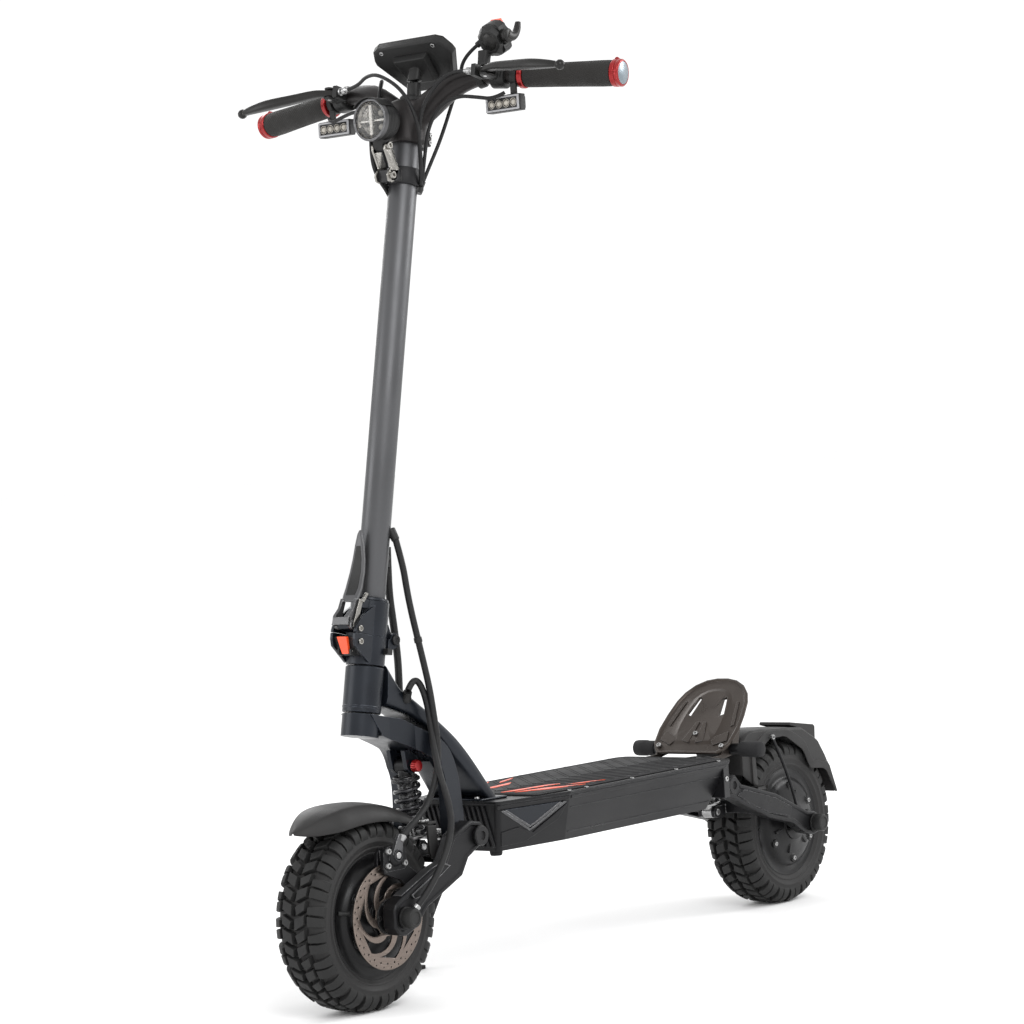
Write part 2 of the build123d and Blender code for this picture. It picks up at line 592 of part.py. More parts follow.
def bar_arm(room=0):
    """The left half of the bar, in steering coordinates, with some room added to its radius."""
    radii = [radius + room for radius in BAR_RADII]
    arm = Pos(*BAR_POINTS[0]) * Sphere(radii[0])
    for here, there, radius, end_radius in zip(BAR_POINTS, BAR_POINTS[1:], radii, radii[1:]):
        arm += rod(here, there, radius, end_radius if end_radius != radius else None)
        if there != BAR_POINTS[-1]:
            arm += Pos(*there) * Sphere(end_radius)
    return arm


def handlebar():
    """The collar and the one-piece gull-wing bar."""
    collar = upright(27, COLLAR_BOTTOM, STEM_TOP + 6)
    body = collar + both(bar_arm())
    body -= upright(STEM_RADIUS + FIT, COLLAR_BOTTOM - 5, STEM_TOP + FIT)
    return STEER * body


def grips():
    """Rubber sleeves with palm rests, lock rings and end discs."""
    pieces = []
    core = rod(bar_at(150), bar_at(319), BAR_RADII[-1] + FIT)
    sleeve = rod(bar_at(178), bar_at(308), 16, 17) + rod(bar_at(262), bar_at(308), 17, 20)
    rings = [rod(bar_at(170), bar_at(177.5), 17.5), rod(bar_at(308.5), bar_at(314), 19)]
    disc = rod(bar_at(319.2), bar_at(322), 17)
    for shape in [sleeve] + rings:
        pieces.append(STEER * (shape - core))
    pieces.append(STEER * disc)
    return pieces + [mirror(piece, Plane.XZ) for piece in pieces]


LOOM_START = (12, 106, 1276)
BUTTON_HEIGHTS = (1266, 1284)


def perch():
    """A lever bracket on the left: clamp, two plates, pin and cable adjuster."""
    u, y, s = LEVER_PIVOT
    bar = [BAR_POINTS[2], BAR_POINTS[3]]
    share = [(BAR_POINTS[3][i] - BAR_POINTS[2][i]) / 53 for i in range(3)]
    low = tuple(bar[0][i] + share[i] * 14 for i in range(3))
    high = tuple(bar[0][i] + share[i] * 36 for i in range(3))
    clamp = rod(low, high, 17.5)
    arm = block((u - 34, 124, s - 8), (u - 11, 152, s + 8), 3)
    end = block((u - 12, 121, s - 8.2), (u + 9, 128.2, s + 8.2), 3)
    plates = block((u - 12, 128, s + 5.2), (u + 10, 151, s + 8.2), 4)
    plates += block((u - 12, 128, s - 8.2), (u + 10, 151, s - 5.2), 4)
    barrel = rod((u - 0.625, 127, s + 0.25), LOOM_START, 4.5)
    body = clamp + arm + end + plates + barrel
    body -= block((u - 9.5, 128.5, s - 5.2), (u + 14, 156, s + 5.2))
    body -= bar_arm(FIT)
    pin = upright(3, s - 9.5, s + 9.5, u, y)
    return [body - pin, pin]


def throttle_drum():
    """The throttle's round housing above the left of the bar, on its foot, with its cable gland."""
    across = Vector(0.8, 0, -0.6)
    centre = Vector(-22.5, 125, 1328.7)
    front, back = centre + across * 15, centre - across * 15
    shoulder = tuple(front - across * 7)
    drum = rod(shoulder, tuple(back), 23.5) + rod(shoulder, tuple(front), 23.5, 17)
    drum -= block((-90, 140.8, 1290), (30, 160, 1370))
    foot = block((-30, 102, 1280), (-12, 118, 1314), 3)
    gland = rod((-21.2, 104, 1328), POD_LOOM[0], 4.5)
    body = drum + foot + gland - bar_arm(FIT)
    return body - cross(*PADDLE_PIVOT, 5 + RUNNING, 131.5, 160)


def switch_housing():
    """The switch housing behind the right of the bar, with two button wells."""
    body = block((-58, -122, 1256), (-26, -92, 1292), 5) - mirror(bar_arm(FIT), Plane.XZ)
    for s in BUTTON_HEIGHTS:
        body -= rod((-50, -107, s), (-70, -107, s), 5.1)
    return body


def bar_controls():
    """Both lever brackets, the throttle's housing and the switch housing."""
    left = perch()
    right = [mirror(piece, Plane.XZ) for piece in left]
    return [STEER * piece for piece in left + right + [throttle_drum(), switch_housing()]]


def button(s):
    """A round push button facing the rider, with a flange inside its well."""
    return STEER * rod((-53.5, -107, s), (-61.5, -107, s), 4.9)


def throttle_paddle():
    """The throttle's thumb paddle, with its hub in the housing's side."""
    hub = cross(*PADDLE_PIVOT, 5, 132, 150) + cross(*PADDLE_PIVOT, 10, 141.2, 150)
    blade = slab([(-20, 1322), (-34, 1324), (-44, 1338), (-47, 1354), (-42, 1358), (-38, 1354), (-36, 1343),
                  (-30, 1338), (-20, 1339)], 141.2, 152, 2)
    return STEER * (hub + blade)


def brake_lever(side):
    """A brake lever that droops towards the ball at its tip."""
    u, y, s = LEVER_PIVOT
    hub = plan([(u - 5, 133), (u + 7, 131.5), (u + 12, 146), (u + 15, 160), (u + 2, 160), (u - 5, 146)],
               s - 5, s + 5, 2)
    start = LEVER_BEND_Y - 2
    blade = plan([(u + 2, start), (u + 15, start), (30, 190), (38, 250), (38, 284), (28, 284), (28, 250),
                  (18, 196)], s - 5, s + 5, 2)
    blade += Pos(33, 286, s) * Sphere(7)
    blade = Pos(0, LEVER_BEND_Y, s) * Rot(-LEVER_DROOP, 0, 0) * Pos(0, -LEVER_BEND_Y, -s) * blade
    shape = hub + blade - upright(3 + RUNNING, s - 20, s + 20, u, y)
    return STEER * (shape if side > 0 else mirror(shape, Plane.XZ))


def display():
    """The display: a tapering housing, its glass, the box behind and its stalk."""
    tilt = radians(45)
    plane = Plane(origin=(256, 0, 1279), x_dir=(0, 1, 0), z_dir=(-sin(tilt), 0, cos(tilt)))
    half = [(50, -42), (62, -36), (69, -15), (38, 42)]
    outline = half + [(-x, y) for x, y in reversed(half)]
    shell = plan(outline, -13, 0, 5)
    glass = plan([(x * 0.88, y * 0.86) for x, y in outline], -1.5, 1.2, 4)
    back = plan([(30, -24), (30, 22), (-30, 22), (-30, -24)], -23, -13, 6)
    stalk = upright(14, STEM_TOP + 6, STEM_TOP + 16) + block((-14, -11, STEM_TOP + 10), (4, 11, 1312))
    stalk = STEER * stalk
    stalk -= plane * block((-80, -60, -22.9), (80, 60, 60))
    return [plane * (shell - glass), plane * glass, plane * back, stalk - plane * back - handlebar()]


LAMP = (377, 1192)
LAMP_PIVOT = (354, 1157)


def headlight_housing():
    """The round lamp body and the lug it tilts on."""
    x, z = LAMP
    barrel = rod((x - 3, 0, z), (x - 34, 0, z), 29) + rod((x - 34, 0, z), (x - 46, 0, z), 29, 18)
    barrel += rod((x, 0, z), (x - 3, 0, z), 29)
    barrel -= rod((x + 1, 0, z), (x - 16, 0, z), 26)
    lug = slab([(345, 1172), (365, 1172), (362, 1156), (354, 1149), (346, 1156)], -8, 8, 2)
    return barrel + lug - cross(*LAMP_PIVOT, 3 + RUNNING, -20, 20)


def headlight_lens():
    """The lamp's lens."""
    x, z = LAMP
    return rod((x - 1, 0, z), (x - 7, 0, z), 25.9)


def headlight_bracket():
    """The band on the stem and the two plates that carry the lamp."""
    x, z = LAMP_PIVOT
    band = STEER * (upright(23, 1126, 1154) & block((3, -30, 1100), (30, 30, 1200)))
    plate = slab([(345, 1154), (348, 1160), (354, 1161.5), (360, 1160), (363, 1152), (352, 1128), (360, 1118),
                  (357, 1108), (349, 1106.5), (340, 1112), (334, 1126)], 9, 12.5)
    neck = block((318, -12.5, 1109), (356, 12.5, 1125))
    bracket = both(plate) + neck + band - STEER * upright(STEM_RADIUS + FIT, 1000, 1220)
    pin = cross(x, z, 3, -14, 14)
    bolts = both(cross(x, z, 5.5, 14, 16.5) + cross(350, 1117, 5.5, 12.5, 15))
    return [bracket - pin, pin, bolts]


def side_lamps():
    """Two bar lamps with four domes each, hung from the bar by straps."""
    pieces = []
    for side in (-1, 1):
        y = 152 * side
        lamp = fillet(block((262, y - 29, 1191), (278, y + 29, 1213)).edges().filter_by(Axis.X), 4)
        for step in (-21, -7, 7, 21):
            lamp += Pos(278, y + step, 1202) * Sphere(5)
        strap = block((262, side * 163 - 5, 1213), (266, side * 163 + 5, 1238))
        bar = STEER * rod(BAR_POINTS[2], BAR_POINTS[3], 13.1, 11.1)
        strap -= bar if side > 0 else mirror(bar, Plane.XZ)
        pieces.append(lamp + strap)
    return pieces


# Cables. The sleeves cross the fold and the front pivot, so they bend when either moves.

CLIP_POINT = (383.3, 38, 484.8)
BRAKE_SLEEVE = [(399, 22, 622), (393, 27, 588), (391, 30, 552), (388, 34, 518), CLIP_POINT]
BRAKE_LOWER = [CLIP_POINT, (378.13, 42.4, 448.28), (376.5, 48, 416), (376, 52, 382), (376, 56, 350),
               (382, 60, 318), (397, 63, 290), (416, 66, 268), (440, 68, 252), (462, 68, 240), (472, 67, 232)]
POWER_SLEEVE = [(391.5, 0, 612), (394, 1, 580), (393, 0, 546), (388.5, 0, 512), (384.5, 0, 478),
                (382.5, 0, 446), (383.9, 0, 414.6)]
MOTOR_LOWER = [(404, 33, 419), (398, 34.5, 429), (388, 36, 431), (381, 39, 419), (378, 44, 394),
               (380, 49, 366), (386, 58, 332), (391, 70, 300), (394, 84, 268), (400, 93, 236),
               (424, 98, 200), (462, 98, 158), (480, 92, 141)]

# The bar looms, in steering coordinates
FRONT_LOOM = [LOOM_START, (14.6, 85.2, 1277.73), (12, 60, 1234), (4, 44, 1196), (-7, 32, 1162),
              (-9, 24.5, 1130)]
POD_LOOM = [(-20, 96, 1322), (-17, 76, 1307), (-30, 62, 1284), (-34, 46, 1244), (-31, 35, 1200),
            (-22, 27, 1162), (-13, 22, 1130)]


def fold_cables():
    """The brake sleeve and the power loom that cross the fold."""
    return [cable(BRAKE_SLEEVE, 4.5), cable(POWER_SLEEVE, 5)]


def front_cables():
    """The brake sleeve and the motor lead, from the fold down to the front wheel."""
    return [cable(BRAKE_LOWER, 4.5), cable(MOTOR_LOWER, 4.5)]


def handlebar_cables():
    """The looms from the controls into the stem's gland."""
    left = cable(FRONT_LOOM, 3)
    looms = [left, mirror(left, Plane.XZ), cable(POD_LOOM, 3)]
    return [STEER * loom for loom in looms]


PARTS = {
    "fold_cables": fold_cables,
    "front_cables": front_cables,
    "handlebar_cables": handlebar_cables,
    "neck_frame": neck_frame,
    "deck_shell": deck_shell,
    "deck_cover": deck_cover,
    "deck_mat": deck_mat,
    "deck_fittings": deck_fittings,
    "battery_pack": battery_pack,
    "motor_controllers": motor_controllers,
    "kick_plate": kick_plate,
    "grab_bar": grab_bar,
    "headset_bearings": headset_bearings,
    "kickstand_bracket": kickstand_bracket,
    "kickstand_leg": kickstand_leg,
    "fork_arm": fork_arm,
    "fold_lower_clamp": fold_lower_clamp,
    "latch_base": latch_base,
    "safety_catch": safety_catch,
    "fork_fasteners": fork_fasteners,
    "fold_upper_clamp": fold_upper_clamp,
    "latch_rod": latch_rod,
    "latch_lever": latch_lever,
    "stem_tube": stem_tube,
    "handlebar": handlebar,
    "grips": grips,
    "bar_controls": bar_controls,
    "mode_button": lambda: button(BUTTON_HEIGHTS[1]),
    "horn_button": lambda: button(BUTTON_HEIGHTS[0]),
    "throttle_paddle": throttle_paddle,
    "brake_lever_left": lambda: brake_lever(1),
    "brake_lever_right": lambda: brake_lever(-1),
    "display": display,
    "headlight_housing": headlight_housing,
    "headlight_lens": headlight_lens,
    "headlight_bracket": headlight_bracket,
    "side_lamps": side_lamps,
    "front_swingarm": front_swingarm,
    "front_fender": front_fender,
    "front_axle": lambda: [FRONT_WHEEL * piece for piece in axle()]
    + [cross(*FRONT_LOWER_EYE, EYE_PIN_RADIUS, -17, 17)],
    "front_caliper": lambda: FRONT_WHEEL * caliper(),
    "front_caliper_arm": lambda: FRONT_WHEEL * caliper_arm(),
    "front_tyre": lambda: FRONT_WHEEL * tyre(),
    "front_hub_motor": lambda: FRONT_WHEEL * hub_motor(),
    "front_rotor": lambda: FRONT_WHEEL * rotor(),
    "front_shock_body": lambda: shock_body(FRONT_UPPER_EYE, FRONT_LOWER_EYE),
    "front_shock_rod": lambda: shock_rod(FRONT_UPPER_EYE, FRONT_LOWER_EYE),
    "front_spring": lambda: shock_spring(FRONT_UPPER_EYE, FRONT_LOWER_EYE),
    "rear_swingarm": rear_swingarm,
    "rear_fender": rear_fender,
    "tail_light": tail_light,
    "rear_axle": lambda: [REAR_WHEEL * piece for piece in axle()]
    + [cross(*REAR_LOWER_EYE, EYE_PIN_RADIUS, -17, 17)],
    "rear_caliper": lambda: REAR_WHEEL * caliper(),
    "rear_caliper_arm": lambda: REAR_WHEEL * caliper_arm(),
    "rear_tyre": lambda: REAR_WHEEL * tyre(),
    "rear_hub_motor": lambda: REAR_WHEEL * hub_motor(),
    "rear_rotor": lambda: REAR_WHEEL * rotor(),
    "rear_shock_body": lambda: shock_body(REAR_UPPER_EYE, REAR_LOWER_EYE),
    "rear_shock_rod": lambda: shock_rod(REAR_UPPER_EYE, REAR_LOWER_EYE),
    "rear_spring": lambda: shock_spring(REAR_UPPER_EYE, REAR_LOWER_EYE),
}


def solids_of(shapes):
    """The closed solids of a shape, or of a list of shapes."""
    shapes = shapes if isinstance(shapes, list) else [shapes]
    return [solid for shape in shapes for solid in shape.solids()]


for name, make in PARTS.items():
    solids = solids_of(make())
    export_step(Compound(children=solids), f"parts/{name}.step")
    print(name, len(solids))
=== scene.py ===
import json
import math

import bmesh
import bpy
from mathutils import Matrix, Vector


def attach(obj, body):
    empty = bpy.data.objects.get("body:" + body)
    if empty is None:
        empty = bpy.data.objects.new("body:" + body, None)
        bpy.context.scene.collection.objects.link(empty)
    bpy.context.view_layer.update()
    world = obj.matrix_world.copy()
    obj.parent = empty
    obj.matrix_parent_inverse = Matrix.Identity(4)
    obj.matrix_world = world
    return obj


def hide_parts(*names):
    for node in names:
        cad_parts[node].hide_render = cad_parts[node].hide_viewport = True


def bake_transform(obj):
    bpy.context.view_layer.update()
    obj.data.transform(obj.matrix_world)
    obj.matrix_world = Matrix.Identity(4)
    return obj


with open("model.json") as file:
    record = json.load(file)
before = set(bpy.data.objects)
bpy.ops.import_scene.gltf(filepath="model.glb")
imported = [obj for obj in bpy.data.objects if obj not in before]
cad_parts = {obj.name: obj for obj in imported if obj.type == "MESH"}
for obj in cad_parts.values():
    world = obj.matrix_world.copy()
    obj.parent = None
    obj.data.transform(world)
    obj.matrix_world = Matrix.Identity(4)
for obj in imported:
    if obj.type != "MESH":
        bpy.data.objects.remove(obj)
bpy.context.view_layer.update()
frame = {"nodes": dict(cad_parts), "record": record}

# The looks of an electric kick scooter. Shapes below are in millimetres in the CAD frame:
# +X forward, +Y the rider's left, +Z up, origin on the ground between the two axles.

MM = 0.001
IDENTITY = Matrix.Identity(4)
FLIP = Matrix.Scale(-1, 4, (0, 1, 0))
AXLE_X, AXLE_Z = 498, 127.5
TYRE_RADIUS = 127.5

# Steering coordinates: forward of the axis, left, and along the axis, which leans back 12 degrees
RAKE = math.radians(12)
STEER = Matrix.Translation((548.3, 0, 0)) @ Matrix.Rotation(-RAKE, 4, "Y")
FRONT_WHEEL = Matrix.Translation((AXLE_X, 0, AXLE_Z))
REAR_WHEEL = Matrix.Translation((-AXLE_X, 0, AXLE_Z)) @ Matrix.Rotation(math.pi, 4, "Z")


# Shapes: each is (points, faces), in millimetres

def loft(rings, cap=True, closed=True):
    """Faces between rings of equally many points."""
    count = len(rings[0])
    points = [Vector(p) for ring in rings for p in ring]
    faces = []
    for i in range(len(rings) - 1):
        for j in range(count if closed else count - 1):
            a, b = i * count + j, i * count + (j + 1) % count
            faces.append((a, b, b + count, a + count))
    if cap:
        last = (len(rings) - 1) * count
        faces += [tuple(reversed(range(count))), tuple(range(last, last + count))]
    return points, faces


def circle(radius, height=0.0, count=32):
    """A ring of points about Z."""
    turns = [math.tau * i / count for i in range(count)]
    return [(radius * math.cos(a), radius * math.sin(a), height) for a in turns]


def lathe(profile, count=48, cap=True):
    """A turned body about Z, from (radius, height) points."""
    return loft([circle(max(radius, 0.01), height, count) for radius, height in profile], cap)


def slab(outline, low_y, high_y):
    """A plate with an outline in XZ, between two values of Y."""
    return loft([[(x, y, z) for x, z in outline] for y in (low_y, high_y)])


def plan(outline, low_z, high_z):
    """A plate with an outline in XY, between two heights."""
    return loft([[(x, y, z) for x, y in outline] for z in (low_z, high_z)])


def block(low, high):
    """A box between two corners."""
    (x0, y0, z0), (x1, y1, z1) = low, high
    return plan([(x0, y0), (x1, y0), (x1, y1), (x0, y1)], z0, z1)


def join(*shapes):
    """Several shapes as one."""
    points, faces = [], []
    for more_points, more_faces in shapes:
        start = len(points)
        points += more_points
        faces += [tuple(start + i for i in face) for face in more_faces]
    return points, faces


def placed(shape, *matrices):
    """A shape moved by matrices, the last one first."""
    points = shape[0]
    for matrix in reversed(matrices):
        points = [matrix @ Vector(p) for p in points]
    return points, shape[1]


def both(shape):
    """A shape and its twin on the other side."""
    return join(shape, placed(shape, FLIP))


def along(start, end):
    """A matrix that puts Z along the way from start to end, with its origin at start."""
    start = Vector(start)
    way = Vector(end) - start
    return Matrix.Translation(start) @ way.to_track_quat("Z", "Y").to_matrix().to_4x4()


def rod(start, end, radius, end_radius=None, count=28):
    """A round bar or cone with small rounded rims."""
    length = (Vector(end) - Vector(start)).length
    end_radius = radius if end_radius is None else end_radius
    rim = min(0.8, radius * 0.15, length * 0.2)
    profile = [(radius - rim, 0), (radius, rim), (end_radius, length - rim), (end_radius - rim, length)]
    return placed(lathe(profile, count), along(start, end))


def socket_bolt(start, way, radius, height):
    """A round-headed bolt with a hexagon socket, standing on start."""
    count = 24

    def hexagon(size, z):
        ring = []
        for i in range(count):
            turn = math.tau * i / count
            reach = size / math.cos((turn % (math.pi / 3)) - math.pi / 6)
            ring.append((reach * math.cos(turn), reach * math.sin(turn), z))
        return ring

    size = 0.48 * radius
    rings = [circle(radius, -0.5, count), circle(radius, height * 0.7, count)]
    rings += [circle(radius * 0.86, height, count), hexagon(size, height), hexagon(size, height * 0.35)]
    end = Vector(start) + Vector(way)
    return placed(loft(rings), along(start, end))


def smooth_line(points, steps=6):
    """A Catmull-Rom line through points of any dimension."""
    points = [Vector(p) for p in points]
    points = [2 * points[0] - points[1]] + points + [2 * points[-1] - points[-2]]
    line = []
    for a, b, c, d in zip(points, points[1:], points[2:], points[3:]):
        for i in range(steps):
            t = i / steps
            line.append(0.5 * (2 * b + (c - a) * t + (2 * a - 5 * b + 4 * c - d) * t * t
                               + (3 * b - 3 * c + d - a) * t * t * t))
    return line + [points[-2]]


# Pieces

def piece(name, shape, finish, body, bevel=0.0, angle=35, replaces=()):
    """A mesh piece from a shape, riding on a body, with its finish in its material slot."""
    mesh = bpy.data.meshes.new(name)
    mesh.from_pydata([MM * Vector(p) for p in shape[0]], [], shape[1])
    work = bmesh.new()
    work.from_mesh(mesh)
    bmesh.ops.remove_doubles(work, verts=work.verts, dist=0.00002)
    bmesh.ops.dissolve_degenerate(work, edges=work.edges, dist=0.00001)
    bmesh.ops.recalc_face_normals(work, faces=work.faces)
    work.to_mesh(mesh)
    work.free()
    mesh.shade_smooth()
    mesh.set_sharp_from_angle(angle=math.radians(angle))
    made = bpy.data.objects.new(name, mesh)
    bpy.context.scene.collection.objects.link(made)
    mesh.materials.append(FINISH[finish])
    if bevel:
        rounding = made.modifiers.new("rounding", "BEVEL")
        rounding.width = bevel * MM
        rounding.segments = 2
        rounding.limit_method = "ANGLE"
        rounding.angle_limit = math.radians(angle)
        rounding.harden_normals = True
    return settle(made, body, replaces)


def settle(made, body, replaces=()):
    """Puts a finished piece on its body and hides the CAD nodes that it stands for."""
    if body:
        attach(made, body)
    if replaces:
        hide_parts(*replaces)
    return made


def cable(name, points, radius, finish="cable_sleeve", body=None, replaces=(), place=IDENTITY, across=None,
          bevel_detail=5):
    """A smooth sleeve along a given route. With across, it is made into a plain mesh."""
    data = bpy.data.curves.new(name, "CURVE")
    data.dimensions = "3D"
    spline = data.splines.new("NURBS")
    spline.points.add(len(points) - 1)
    for control, point in zip(spline.points, points):
        control.co = (*(MM * (place @ Vector(point))), 1)
    spline.order_u = 3
    spline.use_endpoint_u = True
    data.resolution_u = 10
    data.bevel_depth = radius * MM
    data.bevel_resolution = bevel_detail
    data.use_fill_caps = True
    data.materials.append(FINISH[finish])
    made = bpy.data.objects.new(name, data)
    bpy.context.scene.collection.objects.link(made)
    if across:
        bpy.context.view_layer.update()
        seen = made.evaluated_get(bpy.context.evaluated_depsgraph_get())
        mesh = bpy.data.meshes.new_from_object(seen)
        bpy.data.objects.remove(made)
        made = bpy.data.objects.new(name, mesh)
        bpy.context.scene.collection.objects.link(made)
        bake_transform(made)
    return settle(made, body, replaces)


# Materials, kept by name in FINISH

FINISH = {}


def surface(name, colour, rough, metal=0.0, mottle=0.2, mottle_scale=30.0, grain=1200.0, bump=0.1, wear=None,
            wear_share=0.4, edge=0.8, coat=0.0, rough_spread=0.12, stretch=(1, 1, 1), rings=None,
            pattern=None):
    """A procedural finish: mottled colour, uneven gloss, fine grain and worn, rounded edges."""
    material = bpy.data.materials.new(name)
    FINISH[name] = material
    material.use_nodes = True
    nodes, links = material.node_tree.nodes, material.node_tree.links
    shader = nodes["Principled BSDF"]
    shader.inputs["Metallic"].default_value = metal
    shader.inputs["Coat Weight"].default_value = coat
    shader.inputs["Coat Roughness"].default_value = 0.25
    place = nodes.new("ShaderNodeTexCoord").outputs["Object"]
    stretched = nodes.new("ShaderNodeMapping")
    stretched.inputs["Scale"].default_value = stretch
    links.new(place, stretched.inputs["Vector"])
    place = stretched.outputs["Vector"]
    if rings:
        place = ring_coordinates(nodes, links, place, rings)

    def noise(scale, detail):
        made = nodes.new("ShaderNodeTexNoise")
        made.inputs["Scale"].default_value = scale
        made.inputs["Detail"].default_value = detail
        links.new(place, made.inputs["Vector"])
        return made.outputs["Fac"]

    patches, fine = noise(mottle_scale, 6), noise(grain, 3)
    tint = mixed(nodes, links, patches, [c * (1 - mottle) for c in colour],
                 [c * (1 + mottle) for c in colour])
    rounded = nodes.new("ShaderNodeBevel")
    rounded.inputs["Radius"].default_value = edge * MM
    rounded.samples = 4
    if wear:
        geometry = nodes.new("ShaderNodeNewGeometry")
        dot = nodes.new("ShaderNodeVectorMath")
        dot.operation = "DOT_PRODUCT"
        links.new(rounded.outputs["Normal"], dot.inputs[0])
        links.new(geometry.outputs["Normal"], dot.inputs[1])
        edges = ranged(nodes, links, dot.outputs["Value"], 0.985, 0.90, 0, wear_share)
        broken = ranged(nodes, links, noise(mottle_scale * 9, 4), 0.42, 0.60, 0.15, 1)
        amount = nodes.new("ShaderNodeMath")
        amount.operation = "MULTIPLY"
        links.new(edges, amount.inputs[0])
        links.new(broken, amount.inputs[1])
        tint = mixed(nodes, links, amount.outputs["Value"], tint, wear)
    links.new(tint, shader.inputs["Base Color"])
    gloss = ranged(nodes, links, patches, 0.3, 0.7, rough - rough_spread, rough + rough_spread)
    links.new(gloss, shader.inputs["Roughness"])
    height = pattern(nodes, links, place) if pattern else fine
    relief = nodes.new("ShaderNodeBump")
    relief.inputs["Strength"].default_value = bump
    relief.inputs["Distance"].default_value = 0.0006
    links.new(height, relief.inputs["Height"])
    links.new(rounded.outputs["Normal"], relief.inputs["Normal"])
    links.new(relief.outputs["Normal"], shader.inputs["Normal"])
    return material


def mixed(nodes, links, factor, low, high):
    """A colour between two, each a colour or a socket."""
    mix = nodes.new("ShaderNodeMix")
    mix.data_type = "RGBA"
    links.new(factor, mix.inputs["Factor"])
    for socket, value in ((mix.inputs[6], low), (mix.inputs[7], high)):
        if isinstance(value, bpy.types.NodeSocket):
            links.new(value, socket)
        else:
            socket.default_value = (*value, 1)
    return mix.outputs[2]


def ranged(nodes, links, value, low, high, to_low, to_high):
    """A value mapped from one range to another and held inside it."""
    mapping = nodes.new("ShaderNodeMapRange")
    for name, number in (("From Min", low), ("From Max", high), ("To Min", to_low), ("To Max", to_high)):
        mapping.inputs[name].default_value = number
    links.new(value, mapping.inputs["Value"])
    return mapping.outputs["Result"]


def ring_coordinates(nodes, links, place, centre):
    """Coordinates that change only with the distance from an axis along Y through (x, z)."""
    offset = nodes.new("ShaderNodeVectorMath")
    offset.operation = "SUBTRACT"
    offset.inputs[1].default_value = (centre[0] * MM, 0, centre[1] * MM)
    links.new(place, offset.inputs[0])
    flat = nodes.new("ShaderNodeVectorMath")
    flat.operation = "MULTIPLY"
    flat.inputs[1].default_value = (1, 0, 1)
    links.new(offset.outputs["Vector"], flat.inputs[0])
    reach = nodes.new("ShaderNodeVectorMath")
    reach.operation = "LENGTH"
    links.new(flat.outputs["Vector"], reach.inputs[0])
    gather = nodes.new("ShaderNodeCombineXYZ")
    links.new(reach.outputs["Value"], gather.inputs["X"])
    slow = nodes.new("ShaderNodeVectorMath")
    slow.operation = "MULTIPLY_ADD"
    slow.inputs[1].default_value = (0.04, 0.04, 0.04)
    links.new(flat.outputs["Vector"], slow.inputs[0])
    links.new(gather.outputs["Vector"], slow.inputs[2])
    return slow.outputs["Vector"]


def knurl(scale):
    """A cross-hatched relief for rubber grips."""
    def pattern(nodes, links, place):
        waves = []
        for way in ((1, 1, 1), (-1, 1, -1)):
            turned = nodes.new("ShaderNodeMapping")
            turned.inputs["Scale"].default_value = way
            links.new(place, turned.inputs["Vector"])
            wave = nodes.new("ShaderNodeTexWave")
            wave.bands_direction = "DIAGONAL"
            wave.inputs["Scale"].default_value = scale
            links.new(turned.outputs["Vector"], wave.inputs["Vector"])
            waves.append(wave.outputs["Fac"])
        least = nodes.new("ShaderNodeMath")
        least.operation = "MINIMUM"
        links.new(waves[0], least.inputs[0])
        links.new(waves[1], least.inputs[1])
        return least.outputs["Value"]
    return pattern


def cells(scale):
    """A pebbled relief of small cells, for moulded rubber."""
    def pattern(nodes, links, place):
        grit = nodes.new("ShaderNodeTexVoronoi")
        grit.inputs["Scale"].default_value = scale
        links.new(place, grit.inputs["Vector"])
        return grit.outputs["Distance"]
    return pattern


def glass(name, colour):
    """A thin clear cover with faint unevenness."""
    material = surface(name, colour, 0.04, mottle=0.03, bump=0.02, rough_spread=0.01)
    shader = material.node_tree.nodes["Principled BSDF"]
    shader.inputs["Alpha"].default_value = 0.16
    return material


def glow(material, colour, strength):
    """Makes a finish give off some light."""
    shader = material.node_tree.nodes["Principled BSDF"]
    shader.inputs["Emission Color"].default_value = (*colour, 1)
    shader.inputs["Emission Strength"].default_value = strength
    return material


surface("blue_black", (0.010, 0.0125, 0.0175), 0.36, 0.5, 0.25, 22, 2600, 0.10, (0.13, 0.145, 0.18), 0.45,
        1.2, coat=0.2)
surface("stem_grey", (0.085, 0.086, 0.090), 0.42, 0.75, 0.12, 9, 2400, 0.12, (0.30, 0.30, 0.31), 0.3, 1.0)
surface("bar_grey", (0.022, 0.020, 0.020), 0.40, 0.55, 0.35, 26, 1800, 0.16, (0.24, 0.18, 0.13), 0.3, 1.2)
surface("deck_black", (0.007, 0.007, 0.008), 0.38, 0.25, 0.35, 14, 1300, 0.16, (0.13, 0.13, 0.14), 0.4, 1.0,
        stretch=(0.35, 1, 1))
surface("mat_rubber", (0.013, 0.013, 0.014), 0.72, 0, 0.3, 18, 1200, 0.5, (0.07, 0.07, 0.07), 0.4, 0.6,
        pattern=cells(650))
surface("grip_rubber", (0.015, 0.014, 0.013), 0.68, 0, 0.25, 40, 900, 0.75, edge=0.6, pattern=knurl(150))
surface("black_steel", (0.011, 0.011, 0.012), 0.42, 0.2, 0.3, 35, 1600, 0.2, (0.2, 0.19, 0.18), 0.4, 0.7)
surface("arm_black", (0.012, 0.012, 0.013), 0.38, 0.5, 0.3, 30, 1700, 0.16, (0.45, 0.45, 0.46), 0.75, 0.9)
surface("gunmetal", (0.040, 0.032, 0.027), 0.36, 0.7, 0.22, 16, 1500, 0.14, (0.42, 0.42, 0.43), 0.6, 1.0)
surface("blue_wrap", (0.03, 0.07, 0.28), 0.35, 0, 0.2, 40, 900, 0.2)
surface("bare_aluminium", (0.55, 0.55, 0.56), 0.35, 0.9, 0.1, 30, 1500, 0.1)
